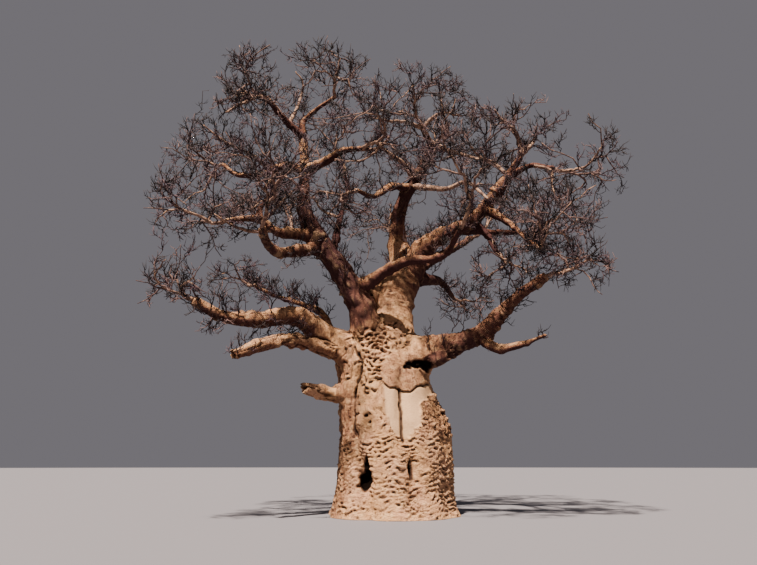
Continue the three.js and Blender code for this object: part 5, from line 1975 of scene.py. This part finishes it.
def floor():
    """A wide pale floor."""
    bpy.ops.mesh.primitive_circle_add(vertices=96, radius=400, fill_type="NGON", location=(0, 0, 0))
    ground = bpy.context.object
    ground.name = "floor"
    nodes = Nodes("floor_pale")
    nodes.shader.inputs["Base Color"].default_value = (*FLOOR, 1.0)
    nodes.shader.inputs["Roughness"].default_value = 0.9
    ground.data.materials.append(nodes.material)


def light(name, azimuth, elevation, energy, colour, spread):
    """A soft distant light from a direction in degrees: azimuth 0 is the front, 90 the right."""
    data = bpy.data.lights.new(name, "SUN")
    data.energy = energy
    data.color = colour
    data.angle = math.radians(spread)
    lamp = bpy.data.objects.new(name, data)
    lamp.rotation_euler = (math.radians(90 - elevation), 0, math.radians(azimuth))
    bpy.context.scene.collection.objects.link(lamp)


def surroundings():
    """The pale even light all round."""
    world = bpy.data.worlds.new("pale")
    world.use_nodes = True
    back = world.node_tree.nodes["Background"]
    back.inputs["Color"].default_value = (*AIR, 1.0)
    back.inputs["Strength"].default_value = AIR_STRENGTH
    bpy.context.scene.world = world


def camera():
    """The camera, from where the photograph was taken."""
    data = bpy.data.cameras.new("camera")
    data.lens = LENS
    data.sensor_width = SENSOR
    data.clip_end = 1000
    eye = bpy.data.objects.new("camera", data)
    eye.location = EYE
    eye.rotation_euler = (math.radians(90 + PITCH), 0, 0)
    bpy.context.scene.collection.objects.link(eye)
    bpy.context.scene.camera = eye


def make_bark(finder):
    """The bark of the trunk and of every limb."""
    pieces = bark_pieces(finder)
    dress(pieces["bark_trunk"], bark_material("bark_of_trunk"), ["trunk"])
    for name, group in BARK_GROUPS.items():
        dress(pieces[name], bark_material(name + "_look"), group)
    slim = [name for name in LIMBS if name not in STOUT]
    dress(bough_tubes(finder, slim), bark_material("bark_of_boughs"), slim)


def toned_piece(name, rods, sides, materials, replaced):
    """A piece of rods, each with the material of its tone."""
    vertices, quads, caps, tones = rods_mesh(rods, sides)
    piece = mesh_object(name, vertices, quads, caps)
    dress(piece, materials[0], replaced)
    for material in materials[1:]:
        piece.data.materials.append(material)
    piece.data.polygons.foreach_set("material_index", tones.astype(np.int32))


def grown_stems(finder, spaces, by_mass, dice):
    """The stouter stems of every mass, and the side boughs. The sprays that stand on them are added
    to those of their masses."""
    sides = side_rods(finder)
    stems = []
    for index, name in enumerate(spaces.names):
        root = finder.lines[MASSES[name][0]][0][-1]
        for branch in coarse_branches(index, spaces, finder):
            points, thick = coarse_rod(branch)
            rod = bent(points, thick, COARSE_BEND, dice)
            rod = bent(*rod, COARSE_BEND, dice)
            stems.append((*rod, int(np.searchsorted(TONE_RADII, thick[0]))))
            nodes = nodes_along(*rod, NODE_STEP / THICKNESS.get(name, 1), STEM_NODES_FROM)
            by_mass[name].extend(sprays_from(nodes, spaces, root, dice, 1.0))
    for points, radii in sides:
        stems.append((*bent(points, radii, SIDE_BEND, dice), SIDE_TONE))
        name = spaces.names[int(spaces.depths(points[-1]).argmin())]
        nodes = nodes_along(points, radii, NODE_STEP / THICKNESS.get(name, 1), SIDE_NODES_FROM)
        by_mass[name].extend(sprays_from(nodes, spaces, points[0], dice, 1.0))
    return stems


def twigs_on_limbs(finder, spaces, by_mass, dice):
    """Adds to each mass the sprays along its bough, and the shoots of the limbs that are nearest."""
    for mass, row in MASSES.items():
        middles, _, radii = finder.lines[row[0]]
        nodes = nodes_along(middles, radii, BOUGH_NODE_STEP, BOUGH_NODES_FROM)
        by_mass[mass].extend(sprays_from(nodes, spaces, middles[0], dice, BOUGH_SPRAYS))
    for name, *share in SHOOTS:
        middles = finder.lines[name][0]
        nearest = spaces.names[int(spaces.depths(middles[len(middles) // 2]).argmin())]
        by_mass[nearest].extend(shoots_on(finder.lines[name], share, dice))


def twig_rods(branches, finder, dice):
    """The rods of some twigs and of the spurs on them, without those that would cross a limb."""
    rods = []
    for branch, tone in branches:
        points, radii = bent(*fine_rod(branch), BEND_SHARE, dice)
        rods.append((points, radii, tone))
        rods.extend((*spur, tone) for spur in spurs(points, radii, dice))
    return off_limbs(rods, finder)


def make_crown(finder):
    """The branches of every mass, and the sprays of twigs that grow on them and on the boughs."""
    spaces = Spaces()
    dice = np.random.default_rng(CROWN_SEED)
    by_mass = {name: [] for name in spaces.names}
    stems = grown_stems(finder, spaces, by_mass, dice)
    twigs_on_limbs(finder, spaces, by_mass, dice)
    names = ("branch_thin", "branch_0", "branch_1")
    looks = [branch_material(name, *tone) for name, tone in zip(names, BRANCH_TONES)]
    toned_piece("branches", stems, STEM_SIDES, looks, spaces.names)
    for group, members in TWIG_GROUPS.items():
        branches = [branch for member in members for branch in by_mass[member]]
        rods = twig_rods(branches, finder, dice)
        names = (group + "_dark", group + "_0", group + "_1")
        looks = [twig_material(name, *tone) for name, tone in zip(names, TONES)]
        toned_piece(group, rods, FINE_SIDES, looks, members)


camera()
surroundings()
light("key", *KEY)
light("fill", *FILL)
floor()
finder = LimbFinder({name: limb_line(name, FINDER_STEP) for name in LIMBS})
make_bark(finder)
make_crown(finder)
